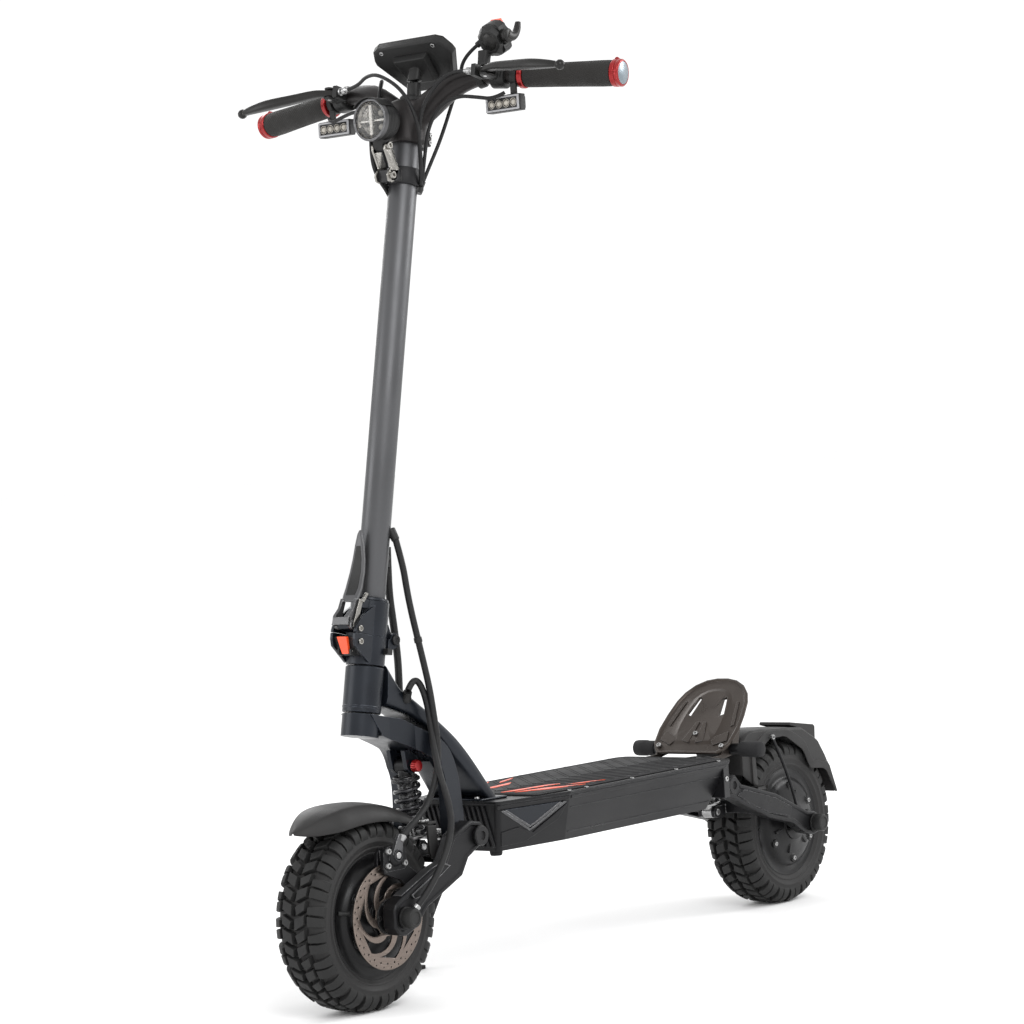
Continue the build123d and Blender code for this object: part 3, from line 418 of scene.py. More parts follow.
surface("bearing_steel", (0.34, 0.34, 0.34), 0.30, 0.95, 0.25, 60, 1800, 0.1, (0.7, 0.68, 0.64), 0.5, 0.5)
surface("disc_steel", (0.19, 0.155, 0.135), 0.34, 0.95, 0.3, 900, 3000, 0.2, (0.6, 0.57, 0.53), 0.6, 0.5,
        rings=(AXLE_X, AXLE_Z))
surface("disc_steel_rear", (0.19, 0.155, 0.135), 0.34, 0.95, 0.3, 900, 3000, 0.2, (0.6, 0.57, 0.53), 0.6, 0.5,
        rings=(-AXLE_X, AXLE_Z))
surface("chrome", (0.30, 0.29, 0.27), 0.15, 1.0, 0.18, 45, 900, 0.04, rough_spread=0.06)
surface("black_plastic", (0.010, 0.010, 0.010), 0.45, 0, 0.3, 20, 1500, 0.28, (0.10, 0.10, 0.10), 0.35, 0.8)
surface("fender_plastic", (0.015, 0.0145, 0.0145), 0.50, 0, 0.4, 13, 1100, 0.35, (0.15, 0.14, 0.13), 0.35,
        1.2)
surface("orange_plastic", (0.80, 0.075, 0.018), 0.34, 0, 0.12, 35, 900, 0.1, (0.95, 0.30, 0.10), 0.4, 0.8,
        coat=0.2)
surface("cable_sleeve", (0.008, 0.008, 0.0085), 0.50, 0, 0.3, 60, 1400, 0.4, pattern=cells(900))
surface("lever_grey", (0.085, 0.085, 0.088), 0.36, 0.7, 0.25, 30, 1700, 0.14, (0.62, 0.62, 0.63), 0.75, 0.9)
surface("brake_black", (0.014, 0.0135, 0.013), 0.36, 0.35, 0.3, 40, 1500, 0.14, (0.30, 0.28, 0.26), 0.5, 0.8,
        coat=0.1)
surface("button_grey", (0.30, 0.30, 0.31), 0.5, 0, 0.15, 60, 1200, 0.2)
surface("tyre", (0.013, 0.013, 0.013), 0.62, 0, 0.35, 24, 900, 0.4, (0.085, 0.08, 0.075), 0.6, 1.0)
surface("tyre_side", (0.020, 0.0195, 0.0195), 0.66, 0, 0.45, 12, 800, 0.35)
surface("hub_black", (0.007, 0.007, 0.0075), 0.36, 0.3, 0.3, 35, 1500, 0.14, (0.22, 0.22, 0.22), 0.4, 0.7)
surface("spring_grey", (0.022, 0.022, 0.025), 0.30, 0.5, 0.25, 50, 1500, 0.14, (0.35, 0.35, 0.35), 0.5, 0.5,
        coat=0.2)
surface("tail_red", (0.15, 0.004, 0.004), 0.18, 0, 0.2, 60, 900, 0.05, coat=0.3)
surface("red_anodised", (0.27, 0.005, 0.006), 0.26, 0.55, 0.2, 60, 1400, 0.08, (0.95, 0.40, 0.36), 0.5, 0.6,
        coat=0.2)
surface("end_disc", (0.22, 0.26, 0.29), 0.30, 0.6, 0.12, 40, 1200, 0.1, (0.6, 0.62, 0.65), 0.5, 0.5)
surface("reflector", (0.34, 0.32, 0.29), 0.14, 1.0, 0.1, 80, 600, 0.08, rough_spread=0.05)
glow(surface("led_white", (0.34, 0.32, 0.28), 0.25, 0, 0.1, 200, 900, 0.1), (1, 0.93, 0.8), 0.03)
surface("screen", (0.006, 0.007, 0.009), 0.08, 0, 0.4, 20, 600, 0.01, coat=1.0, rough_spread=0.04)
glass("lamp_glass", (0.20, 0.205, 0.21))

# The blacks shine less than a plain plastic
for dull in ("blue_black", "bar_grey", "deck_black", "mat_rubber", "grip_rubber", "black_steel", "arm_black",
             "black_plastic", "fender_plastic", "cable_sleeve", "brake_black", "tyre", "tyre_side",
             "hub_black"):
    FINISH[dull].node_tree.nodes["Principled BSDF"].inputs["Specular IOR Level"].default_value = 0.28


def dress_cad():
    """Gives each CAD node the finish of its slot, and the brake arms a darker one."""
    for row in frame["record"]["subparts"]:
        slots = frame["nodes"][row["node"]].material_slots
        finish = FINISH["lever_grey" if row["node"].endswith("caliper_arm") else row["material_slot"]]
        for slot in slots:
            slot.material = finish


# Wheels

# The tread's outer and floor profiles, as (distance from the middle, radius, half width)
TREAD_TOP = [(0, 127.5, 0), (14, 127.3, 14), (25, 126.4, 24.5), (33, 123, 32.5), (40, 118, 37.6),
             (50, 108.5, 39.9)]
TREAD_FLOOR = [(0, 119.5, 0), (14, 119.3, 14), (25, 118.3, 24), (33, 115.8, 31), (40, 112, 35.6),
               (50, 104, 38.3)]
PITCHES = 21


def tread_point(profile, across, turn):
    """A point of a tread profile, at a signed distance across and an angle round."""
    reach = min(abs(across), profile[-1][0])
    for (d0, r0, y0), (d1, r1, y1) in zip(profile, profile[1:]):
        if reach <= d1:
            share = (reach - d0) / (d1 - d0)
            radius, side = r0 + share * (r1 - r0), y0 + share * (y1 - y0)
            break
    side = math.copysign(side, across)
    return (radius * math.cos(turn), side, radius * math.sin(turn))


def tread_block(corners, cells_across=4, cells_round=3):
    """A rubber block on the carcass, from four corners (across, round in millimetres)."""
    def grid(profile, shrink):
        middle = [sum(c[i] for c in corners) / 4 for i in (0, 1)]
        pulled = []
        for corner in corners:
            way = [corner[i] - middle[i] for i in (0, 1)]
            size = math.hypot(*way)
            pulled.append([middle[i] + way[i] * (1 - shrink / size) for i in (0, 1)])
        rows = []
        for i in range(cells_round + 1):
            v = i / cells_round
            for j in range(cells_across + 1):
                u = j / cells_across
                across, run = [(pulled[0][k] * (1 - u) + pulled[1][k] * u) * (1 - v)
                               + (pulled[3][k] * (1 - u) + pulled[2][k] * u) * v for k in (0, 1)]
                rows.append(Vector(tread_point(profile, across, run / TYRE_RADIUS)))
        return rows
    top, floor = grid(TREAD_TOP, 1.2), grid(TREAD_FLOOR, -0.4)
    wide = cells_across + 1
    faces = []
    for i in range(cells_round):
        for j in range(cells_across):
            a = i * wide + j
            faces.append((a, a + 1, a + wide + 1, a + wide))
    rim = [j for j in range(wide)] + [i * wide + cells_across for i in range(1, cells_round + 1)]
    rim += [cells_round * wide + j for j in range(cells_across - 1, -1, -1)]
    rim += [i * wide for i in range(cells_round - 1, 0, -1)]
    start = len(top)
    for a, b in zip(rim, rim[1:] + rim[:1]):
        faces.append((a, b, b + start, a + start))
    return top + floor, faces


def tread():
    """Staggered centre blocks and split shoulder blocks all round."""
    pitch = math.tau * TYRE_RADIUS / PITCHES
    shapes = []
    for i in range(PITCHES):
        run = i * pitch
        for side in (-1, 1):
            shift = run + (0 if side > 0 else pitch / 2)
            shoulder = [(50, shift + 1), (23.5, shift + 4), (23.5, shift + 18), (50, shift + 15)]
            rest = [(50, shift + 17), (23.5, shift + 20), (23.5, shift + 30), (50, shift + 33.5)]
            middle = [(20, shift + 6), (2.2, shift - 3), (2.2, shift + 13), (20, shift + 20)]
            small = [(20, shift + 25), (6, shift + 17.5), (2.2, shift + 29.5), (20, shift + 38.5)]
            for corners in (shoulder, rest, middle, small):
                shapes.append(tread_block([(side * across, away) for across, away in corners]))
    return join(*shapes)


def ribbed_side():
    """The tyre's carcass, with rings moulded in its sidewalls."""
    half = [(77.2, 30.6), (79.5, 32.4), (84, 33.4), (88, 35.6), (89.5, 37.4), (91, 37.6), (92, 36.8),
            (97, 38.0), (98, 39.0), (99.5, 39.1), (100.5, 38.2), (105, 38.4), (112, 35.6), (116, 31),
            (118.3, 24), (119.3, 14), (119.5, 0)]
    profile = half + [(r, -y) for r, y in reversed(half[:-1])]
    profile += [(80, -24), (96, -31), (110, -31), (116, -20), (116, 20), (110, 31), (96, 31), (80, 24)]
    rings = []
    for turn in range(96):
        a = math.tau * turn / 96
        rings.append([(r * math.cos(a), y, r * math.sin(a)) for r, y in profile])
    return loft(rings + [rings[0]], cap=False)


def along_y(x=0.0, y=0.0, z=0.0, way=1):
    """A matrix that puts Z along Y, to the left or to the right."""
    return Matrix.Translation((x, y, z)) @ Matrix.Rotation(-math.pi / 2 * way, 4, "X")


def hub_shape():
    """The hub motor: rim flanges, dished covers with ribs and a bolt circle."""
    half = [(9, 52.5), (17, 52.5), (19, 51.5), (27.5, 50.5), (28, 47.5), (33, 46), (38, 44.5), (52, 42.5),
            (60, 41), (66, 38.5), (68, 35.5), (71, 33.2), (78, 32.6), (81, 33.4), (83.2, 34.2), (84.6, 33.6),
            (84.8, 32.4), (82, 31.4), (77, 31.0)]
    profile = [(r, h) for r, h in half] + [(r, -h) for r, h in reversed(half)]
    turned = lathe(profile + [profile[0]], 96, cap=False)
    shapes = [placed(turned, along_y())]
    for side in (-1, 1):
        for step in range(6):
            turn = Matrix.Rotation(math.tau * (step + 0.5) / 6, 4, "Y")
            pad = lathe([(7, 0), (7, 2.2), (6, 3.2)], 20)
            shapes.append(placed(pad, turn, along_y(57, side * 40.5, 0, side)))
            rib = block((34, 43.2, -2.2), (50, 46, 2.2))
            if side < 0:
                rib = placed(rib, FLIP)
            shapes.append(placed(rib, turn, Matrix.Rotation(math.radians(16), 4, "Y")))
    return join(*shapes)


def hub_bolts():
    """The cover's screws."""
    shapes = []
    for side in (-1, 1):
        for step in range(6):
            turn = Matrix.Rotation(math.tau * (step + 0.5) / 6, 4, "Y")
            shapes.append(placed(socket_bolt((57, side * 43.2, 0), (0, side, 0), 3.6, 2.6), turn))
    return join(*shapes)


def outline_piece(name, outlines, low, high, finish, body, place=IDENTITY, rim=0.25, replaces=()):
    """A flat plate between two values of Y, with holes, from closed outlines in XZ."""
    data = bpy.data.curves.new(name, "CURVE")
    data.dimensions = "2D"
    data.fill_mode = "BOTH"
    data.extrude = ((high - low) / 2 - rim) * MM
    data.bevel_depth = rim * MM
    data.bevel_resolution = 1
    for outline in outlines:
        spline = data.splines.new("POLY")
        spline.points.add(len(outline) - 1)
        for control, (x, z) in zip(spline.points, outline):
            control.co = (x * MM, z * MM, 0, 1)
        spline.use_cyclic_u = True
    made = bpy.data.objects.new(name, data)
    bpy.context.scene.collection.objects.link(made)
    bpy.context.view_layer.update()
    mesh = bpy.data.meshes.new_from_object(made.evaluated_get(bpy.context.evaluated_depsgraph_get()))
    bpy.data.objects.remove(made)
    stand = Matrix(((1, 0, 0, 0), (0, 0, -1, (low + high) / 2), (0, 1, 0, 0), (0, 0, 0, 1)))
    for vertex in mesh.vertices:
        vertex.co = MM * (place @ (stand @ (vertex.co / MM)))
    return piece(name, ([v.co / MM for v in mesh.vertices], [tuple(p.vertices) for p in mesh.polygons]),
                 finish, body, replaces=replaces, angle=30)


def ring_outline(radius, count=96, x=0.0, z=0.0):
    """A circle as an outline."""
    return [(x + radius * math.cos(math.tau * i / count), z + radius * math.sin(math.tau * i / count))
            for i in range(count)]


def disc_outlines():
    """The brake disc: its rim, carrier hole, swirled windows and drilled holes."""
    outlines = [ring_outline(70, 120), ring_outline(14, 40)]
    windows, steps = 7, 9
    for step in range(windows):
        start = math.tau * step / windows
        lead, trail = [], []
        for i in range(steps + 1):
            share = i / steps
            radius = 25.5 + 32 * share
            bend = 0.95 * share ** 1.35
            lead.append((radius, start + bend))
            trail.append((radius, start + bend + 0.44 + 0.28 * share))
        points = lead + list(reversed(trail))
        outlines.append([(r * math.cos(a), r * math.sin(a)) for r, a in points])
    for step in range(28):
        turn = math.tau * step / 28
        for radius, size, ahead in ((67, 1.4, 0), (61.8, 1.7, 0.11)):
            outlines.append(ring_outline(size, 12, radius * math.cos(turn + ahead),
                                         radius * math.sin(turn + ahead)))
    return outlines


def caliper_shapes():
    """The brake caliper in wheel coordinates: black castings, then bright bolts and spring."""
    body = slab([(-34, 66), (-30, 60), (8, 60), (13, 66), (12, 86), (4, 93), (-26, 93), (-34, 84)], 57.4, 64)
    inner = slab([(-32, 66), (-28, 61), (8, 61), (12, 67), (11, 85), (3, 91), (-25, 91), (-32, 83)], 46, 52)
    roof = block((-26, 50, 74), (6, 60, 92))
    bracket = slab([(12, 66), (-34, 66), (-60, 47), (-55, 34), (-48, 26), (-34, 34), (-20, 46), (12, 58)],
                   58.2, 63.8)
    dome = placed(lathe([(13, 0), (13, 2), (11, 4), (8, 5.2)], 32), along_y(-11, 64, 78))
    castings = join(body, inner, roof, bracket, dome)
    bolts = [socket_bolt((x, 64, z), (0, 1, 0), 4.2, 4) for x, z in ((-28, 68), (6, 68), (-52, 40), (4, 87))]
    bolts.append(rod((-11, 64, 80), (-11, 71.5, 80), 4.6))
    coils = [(-11 + 7.4 * math.cos(a), 69.2 + 0.10 * a, 80 + 7.4 * math.sin(a)) for a in
             [math.tau * i / 14 for i in range(30)]]
    return castings, join(*bolts), coils


def wheels():
    """Both wheels with their tyres, valves, hubs, discs, calipers and axle nuts."""
    for end, place, body, arm in (("front", FRONT_WHEEL, "front_wheel", "front_arm"),
                                  ("rear", REAR_WHEEL, "rear_wheel", "rear_arm")):
        piece(f"{end}_tread", placed(tread(), place), "tyre", body, bevel=0.7, replaces=[f"{end}_tyre"],
              angle=40)
        piece(f"{end}_sidewalls", placed(ribbed_side(), place), "tyre_side", body,
              replaces=[f"{end}_tyre"], angle=50)
        piece(f"{end}_hub_shell", placed(hub_shape(), place), "hub_black", body,
              replaces=[f"{end}_hub_motor"], bevel=0.5)
        piece(f"{end}_hub_screws", placed(hub_bolts(), place), "bearing_steel", body)
        valve = join(rod((74, 33, 14), (62, 42.6, 12.4), 3.2, 2.6),
                     rod((64.5, 40.6, 12.7), (61.4, 43, 12.3), 3.6, 3.3))
        piece(f"{end}_valve", placed(valve, place), "black_plastic", body, bevel=0.3)
        steel = "disc_steel" if end == "front" else "disc_steel_rear"
        outline_piece(f"{end}_disc", disc_outlines(), 53.5, 55.7, steel, body, place,
                      replaces=[f"{end}_rotor"])
        carrier = placed(lathe([(13, 0), (24, 0), (24, 1.6), (21, 3.2), (14, 3.2), (13, 0)], 60, cap=False),
                         along_y(0, 55.6, 0))
        screws = [placed(socket_bolt((20.5, 57.2, 0), (0, 1, 0), 3.4, 2.6),
                         Matrix.Rotation(math.tau * i / 6, 4, "Y")) for i in range(6)]
        piece(f"{end}_disc_carrier", placed(join(carrier, *screws), place), "hub_black", body,
              bevel=0.3)
        castings, bolts, coils = caliper_shapes()
        piece(f"{end}_caliper_casting", placed(castings, place), "arm_black", arm, bevel=1.2,
              replaces=[f"{end}_caliper"])
        piece(f"{end}_caliper_bolts", placed(bolts, place), "bearing_steel", arm, replaces=[f"{end}_caliper"])
        cable(f"{end}_caliper_spring", coils, 0.8, "spring_grey", arm, place=place,
              bevel_detail=2)
        axle_nuts(end, place, arm)


def axle_nuts(end, place, arm):
    """The axle's shaft, its flanged nuts and black caps."""
    shaft = placed(lathe([(7.6, -100), (8, -99), (8, 99), (7.6, 100)], 32), along_y())
    shapes = []
    for side in (-1, 1):
        collar = placed(lathe([(9, 0), (15, 0), (15, 3.5), (12, 6), (9, 6)], 40),
                        along_y(0, side * 55.9, 0, side))
        washer = placed(lathe([(9, 0), (14.4, 0), (14.4, 2), (9, 2)], 40), along_y(0, side * 86.2, 0, side))
        cap = [(12.8, 2), (13.2, 3), (13.2, 14.5), (12, 16.6), (9, 17.2), (8.4, 16), (2, 16)]
        shapes += [collar, washer, placed(lathe(cap, 48), along_y(0, side * 86.2, 0, side))]
    piece(f"{end}_axle_caps", placed(join(*shapes), place), "black_plastic", arm)
    piece(f"{end}_axle_shaft", placed(shaft, place), "bearing_steel", arm, replaces=[f"{end}_axle"])


# Mudguards

def front_mudguard():
    """A broad thin guard with a duckbill lip and two flowing creases."""
    # x, middle height, crease height, edge height, half width
    stations = [(405, 249.6, 246.2, 235.3, 39.4), (420, 257, 252, 238, 42), (448, 270, 263, 246, 44.5),
                (480, 278, 270, 251, 45), (512, 281.5, 273, 252.5, 45), (544, 281.5, 272, 250, 45),
                (562, 279, 268, 247.5, 43.5), (576, 275.5, 264, 246, 36.5), (590, 269.5, 258.5, 245, 28.5),
                (601, 262.5, 254, 245, 20), (610, 256, 251, 246.5, 10.5), (615.4, 251.5, 249.6, 248, 2.5)]
    rings = []
    for x, middle, crease, edge, half in stations:
        lift = (0, 0.15, 0.42, 0.5, 1.0)
        ring = []
        for k, share in zip((1.0, 0.96, 0.72, 0.64, 0), lift):
            low = edge if k == 1.0 else crease
            height = low + (middle - low) * (share if k < 0.9 else 0)
            if k == 0.96:
                height = edge + (crease - edge) * 0.62
            if k == 0:
                height = middle
            ring.append((x, half * k, height))
        rings.append(ring + [(x, -y, z) for _, y, z in reversed(ring[:-1])])
    guard = piece("front_mudguard", loft(rings, cap=False, closed=False), "fender_plastic", "front_arm",
                  replaces=["front_fender"], angle=60)
    thicken(guard, 2.4)
    wing = join(slab([(398, 236), (416, 238), (414, 200), (408, 192), (396, 192)], 59.5, 64),
                block((397, 40, 238.5), (414, 63, 242)))
    piece("front_mudguard_wings", both(wing), "fender_plastic", "front_arm", bevel=1.0)
    bolts = both(join(*[socket_bolt((x, 50, 242), (0, 0, 1), 3.4, 2.4) for x in (402, 410)]))
    piece("front_mudguard_bolts", bolts, "bearing_steel", "front_arm")


def thicken(made, thickness, sub=2):
    """Gives an open sheet its thickness and smooths it."""
    shell = made.modifiers.new("thickness", "SOLIDIFY")
    shell.thickness = thickness * MM
    shell.offset = -1
    finer = made.modifiers.new("finer", "SUBSURF")
    finer.levels = sub
    finer.render_levels = sub
    made.data.set_sharp_from_angle(angle=math.pi)


REAR_TOP = [(-366, 190), (-368, 268), (-392, 281), (-420, 281), (-503, 276), (-545, 272), (-588, 250),
            (-612, 218), (-633, 160)]
REAR_SKIRT = [(-406, 186), (-402, 242), (-446, 264), (-489, 264), (-538, 237), (-556, 206), (-600, 201),
              (-630, 158)]


def reach(outline, turn):
    """The distance from the rear axle to an outline, at an angle."""
    way = Vector((math.cos(turn), math.sin(turn)))
    best = 0
    for (x0, z0), (x1, z1) in zip(outline, outline[1:]):
        a = Vector((x0 + AXLE_X, z0 - AXLE_Z))
        b = Vector((x1 + AXLE_X, z1 - AXLE_Z))
        cross = way.x * (b - a).y - way.y * (b - a).x
        if abs(cross) < 1e-9:
            continue
        share = (a.y * way.x - a.x * way.y) / -cross
        length = a.dot(way) + share * (b - a).dot(way)
        if -0.001 <= share <= 1.001 and length > best:
            best = length
    return best


def rear_mudguard():
    """The rear guard: a boxy top, side bands that follow the wheel, and a flap."""
    rings = []
    first, last, steps = math.radians(34), math.radians(166), 34
    for i in range(steps + 1):
        turn = first + (last - first) * i / steps
        outer, inner = reach(REAR_TOP, turn), reach(REAR_SKIRT, turn)
        band = inner + min(15, (outer - inner) * 0.75)
        half = [(inner, 46), (band, 46), (band + 1.5, 43.4), (max(outer - 4, band + 2), 43),
                (outer - 0.6, 39), (outer, 20)]
        section = half + [(r, -y) for r, y in reversed(half)]
        rings.append([(r * math.cos(turn) - AXLE_X, y, r * math.sin(turn) + AXLE_Z) for r, y in section])
    guard = piece("rear_mudguard", loft(rings, cap=False, closed=False), "fender_plastic", "rear_arm",
                  replaces=["rear_fender"], angle=40)
    shell = guard.modifiers.new("thickness", "SOLIDIFY")
    shell.thickness = 2.4 * MM
    shell.offset = -1
    rounding = guard.modifiers.new("rounding", "BEVEL")
    rounding.width = 0.9 * MM
    rounding.segments = 2
    rounding.angle_limit = math.radians(35)
    wing = join(block((-404, 45, 190), (-376, 64, 196)), block((-404, 60, 174), (-376, 64, 196)))
    tail = slab([(-528, 276), (-545, 272), (-588, 250), (-601, 247), (-602, 268), (-598, 271), (-530, 281)],
                -29, 29)
    piece("rear_guard_brackets", join(both(wing), tail), "fender_plastic", "rear_arm", bevel=1.5,
          replaces=["tail_light"])
    lens = slab([(-600.5, 248.5), (-604, 249.5), (-605, 266), (-601, 268)], -26, 26)
    ribs = [slab([(-603, 250), (-605.4, 251), (-606.2, 265), (-603, 266)], y - 0.8, y + 0.8)
            for y in range(-22, 23, 4)]
    piece("tail_lens", join(lens, *ribs), "tail_red", "rear_arm", bevel=0.5, replaces=["tail_light"])
    stays = []
    for side, foot, knee, head in ((1, (-490, 60.5, 144), (-480, 60.5, 192), (-449, 47.5, 266)),
                                   (-1, (-508, 60.5, 134), (-526, 60.5, 206), (-528, 47.5, 256))):
        route = [(x, side * y, z) for x, y, z in (foot, knee, head)]
        cable(f"rear_guard_stay_{'left' if side > 0 else 'right'}", route, 2.5, "black_steel", "rear_arm",
              replaces=["rear_fender"])
        for point in (route[0], route[-1]):
            start = (point[0], side * (abs(point[1]) - 1), point[2])
            stays.append(socket_bolt(start, (0, side, 0), 4.2, 4.5))
    piece("rear_guard_bolts", join(*stays), "bearing_steel", "rear_arm")


# Frame and deck

def between(x, table):
    """A value read off a table of (x, value), in rising x."""
    if x <= table[0][0]:
        return table[0][1]
    for (x0, v0), (x1, v1) in zip(table, table[1:]):
        if x <= x1:
            return v0 + (v1 - v0) * (x - x0) / (x1 - x0)
    return table[-1][1]


def superellipse(power, count=32):
    """A rounded square of half size 1, as (across, up) points."""
    ring = []
    for i in range(count):
        c, s = math.cos(math.tau * i / count), math.sin(math.tau * i / count)
        ring.append((math.copysign(abs(c) ** (2 / power), c), math.copysign(abs(s) ** (2 / power), s)))
    return ring


def arch(tops, bottoms, widths, power=5.0, steps=6):
    """A curved beam in XZ with rounded edges, from its top and bottom lines and its half widths by x."""
    rings = []
    for top, bottom in zip(smooth_line(tops, steps), smooth_line(bottoms, steps)):
        middle, half = (top + bottom) / 2, (top - bottom) / 2
        wide = between(middle.x, widths)
        rings.append([(middle.x + half.x * v, wide * u, middle.y + half.y * v) for u,
                      v in superellipse(power)])
    return loft(rings)


def neck():
    """The arched neck with its head tube, the gland on its back and a fillet plate on the deck."""
    tops = [(432, 456), (410, 424), (388, 407), (340, 369), (300, 331), (243, 254)]
    bottoms = [(438, 400), (411, 390), (385, 378), (350, 350), (323, 316), (270, 254)]
    beam = arch(tops, bottoms, [(240, 54), (300, 46), (350, 36), (400, 27), (445, 24)])
    piece("neck_arch", beam, "blue_black", "frame", replaces=["neck_frame"], angle=60)
    tube = [(22, 402), (25, 402), (26, 403), (26, 462.8), (25, 464), (22, 464)]
    seat = [(26, 408), (26.5, 408.6), (26.5, 410.4), (26, 411)]
    piece("head_tube", placed(join(lathe(tube, 96), lathe(seat, 96)), STEER), "blue_black", "frame",
          replaces=["neck_frame"])
    gland = [(9, 0), (9, 6), (8, 7.5), (8, 12), (7, 14), (7, 19), (6, 21)]
    piece("neck_gland", placed(lathe(gland, 36), along((378.5, 0, 394), (384, 0, 416))), "black_plastic",
          "frame")
    side = placed(lathe([(7.5, 0), (7.5, 4), (6.4, 6), (6, 14)], 32), along((400, 24, 405), (403.6, 32, 417)))
    piece("motor_lead_gland", side, "black_plastic", "frame")
    foot = plan([(236, -60), (285, -52), (285, 52), (236, 60)], 254, 257.4)
    piece("neck_foot", foot, "blue_black", "frame", bevel=2.4)
    bolts = [socket_bolt((x, y, 257.2), (0, 0, 1), 3.6, 2.6) for x, y in ((279, -40), (279, 40), (279, 0))]
    bolts += [socket_bolt((x, y, 254), (0, 0, 1), 2.9, 1.6) for x in (-220, -110, 0, 110, 150)
              for y in (-102, 102)]
    bolts += [socket_bolt((-238, side * 101.5, 226), (0, side, 0), 4, 2.4) for side in (-1, 1)]
    piece("lid_screws", join(*bolts), "bearing_steel", "frame")


NOSE_HIGH = [Vector((155, 106, 250)), Vector((285, 80, 250))]
NOSE_LOW = [Vector((131, 74, 182)), Vector((261, 58, 182))]
SIDE_HIGH = [Vector((-242, 106, 250)), Vector((155, 106, 250))]
SIDE_LOW = [Vector((-220, 74, 182)), Vector((131, 74, 182))]


def panel(points, high, low, proud):
    """A thin plate on one of the tub's slanted faces, from (forward, up) shares of that face."""
    outward = (high[1] - high[0]).cross(low[0] - high[0]).normalized()
    if outward.y < 0:
        outward = -outward
    rings = []
    for lift in (-1.0, proud):
        ring = []
        for along_share, up_share in points:
            top = high[0].lerp(high[1], along_share)
            bottom = low[0].lerp(low[1], along_share)
            ring.append(bottom.lerp(top, up_share) + outward * lift)
        rings.append(ring)
    return loft(rings)


def deck():
    """What the deck's sides carry: ledges, a chevron inlay, ribs on the nose and rubber feet."""
    ledges, chevrons, bright = [], [], []
    for low, high, proud in ((0.90, 0.97, 1.0), (0.70, 0.72, 0.7), (0.16, 0.19, 0.8)):
        ledges.append(panel([(0.01, low), (0.99, low), (0.99, high), (0.01, high)], SIDE_HIGH, SIDE_LOW,
                            proud))
    ledges.append(panel([(0.0, 0.9), (1.0, 0.9), (1.0, 0.97), (0.0, 0.97)], NOSE_HIGH, NOSE_LOW, 1.0))
    corner = [(0.02, 0.84), (0.14, 0.5), (0.62, 0.12), (0.96, 0.1), (0.96, 0.4), (0.7, 0.46), (0.5, 0.3),
              (0.2, 0.62)]
    ledges.append(panel(corner, NOSE_HIGH, NOSE_LOW, 1.4))
    chevrons.append(panel([(0.12, 0.88), (0.92, 0.88), (0.56, 0.44), (0.46, 0.5)], NOSE_HIGH, NOSE_LOW, 1.6))
    for inset in (0.0, 0.07):
        line = [(0.04 + inset, 0.86), (0.47, 0.42 + inset), (0.56, 0.36 + inset), (0.96 - inset * 0.6, 0.86),
                (0.93 - inset * 0.6, 0.88), (0.55, 0.40 + inset), (0.48, 0.46 + inset), (0.08 + inset, 0.88)]
        bright.append(panel(line, NOSE_HIGH, NOSE_LOW, 2.2))
    ledges.append(plan([(-247, 76), (-230, 74), (-230, 103), (-247, 101)], 198, 249))
    piece("deck_ledges", both(join(*ledges)), "deck_black", "frame", bevel=0.6)
    piece("deck_chevrons", both(join(*chevrons)), "blue_black", "frame", bevel=0.6)
    piece("deck_chevron_lines", both(join(*bright)), "lever_grey", "frame", bevel=0.3)
    ribs = []
    for y in range(-54, 55, 9):
        ribs.append(loft([[(x, y - 2, z), (x, y + 2, z), (x + deep, y + 1.4, z), (x + deep, y - 1.4, z)]
                          for x, z, deep in ((263.5, 188, 2.5), (284, 246, 2.6))]))
    piece("nose_ribs", join(*ribs), "deck_black", "frame", bevel=0.5)
    foot = lathe([(9, 182), (9, 177), (7.6, 174)], 32)
    feet = [placed(foot, Matrix.Translation((244, y, 0))) for y in (-40, 40)]
    piece("deck_feet", join(*feet), "mat_rubber", "frame")
    trim = []
    for side in (-1, 1):
        trim.append(rod((-238, side * 105.2, 252), (153, side * 105.2, 252), 1.5, count=12))
    piece("lid_beads", join(*trim), "black_steel", "frame")


def rounded_outline(points, radius, steps=5):
    """An outline in plan with its corners rounded by the same radius."""
    made = []
    count = len(points)
    for i in range(count):
        before, here, after = [Vector(points[(i + k) % count]) for k in (-1, 0, 1)]
        back, ahead = (before - here).normalized(), (after - here).normalized()
        half = back.angle(ahead) / 2
        run = min(radius / math.tan(half), 0.45 * min((before - here).length, (after - here).length))
        start, end = here + back * run, here + ahead * run
        for k in range(steps + 1):
            t = k / steps
            made.append((start * (1 - t) ** 2 + here * 2 * t * (1 - t) + end * t * t)[:])
    return made


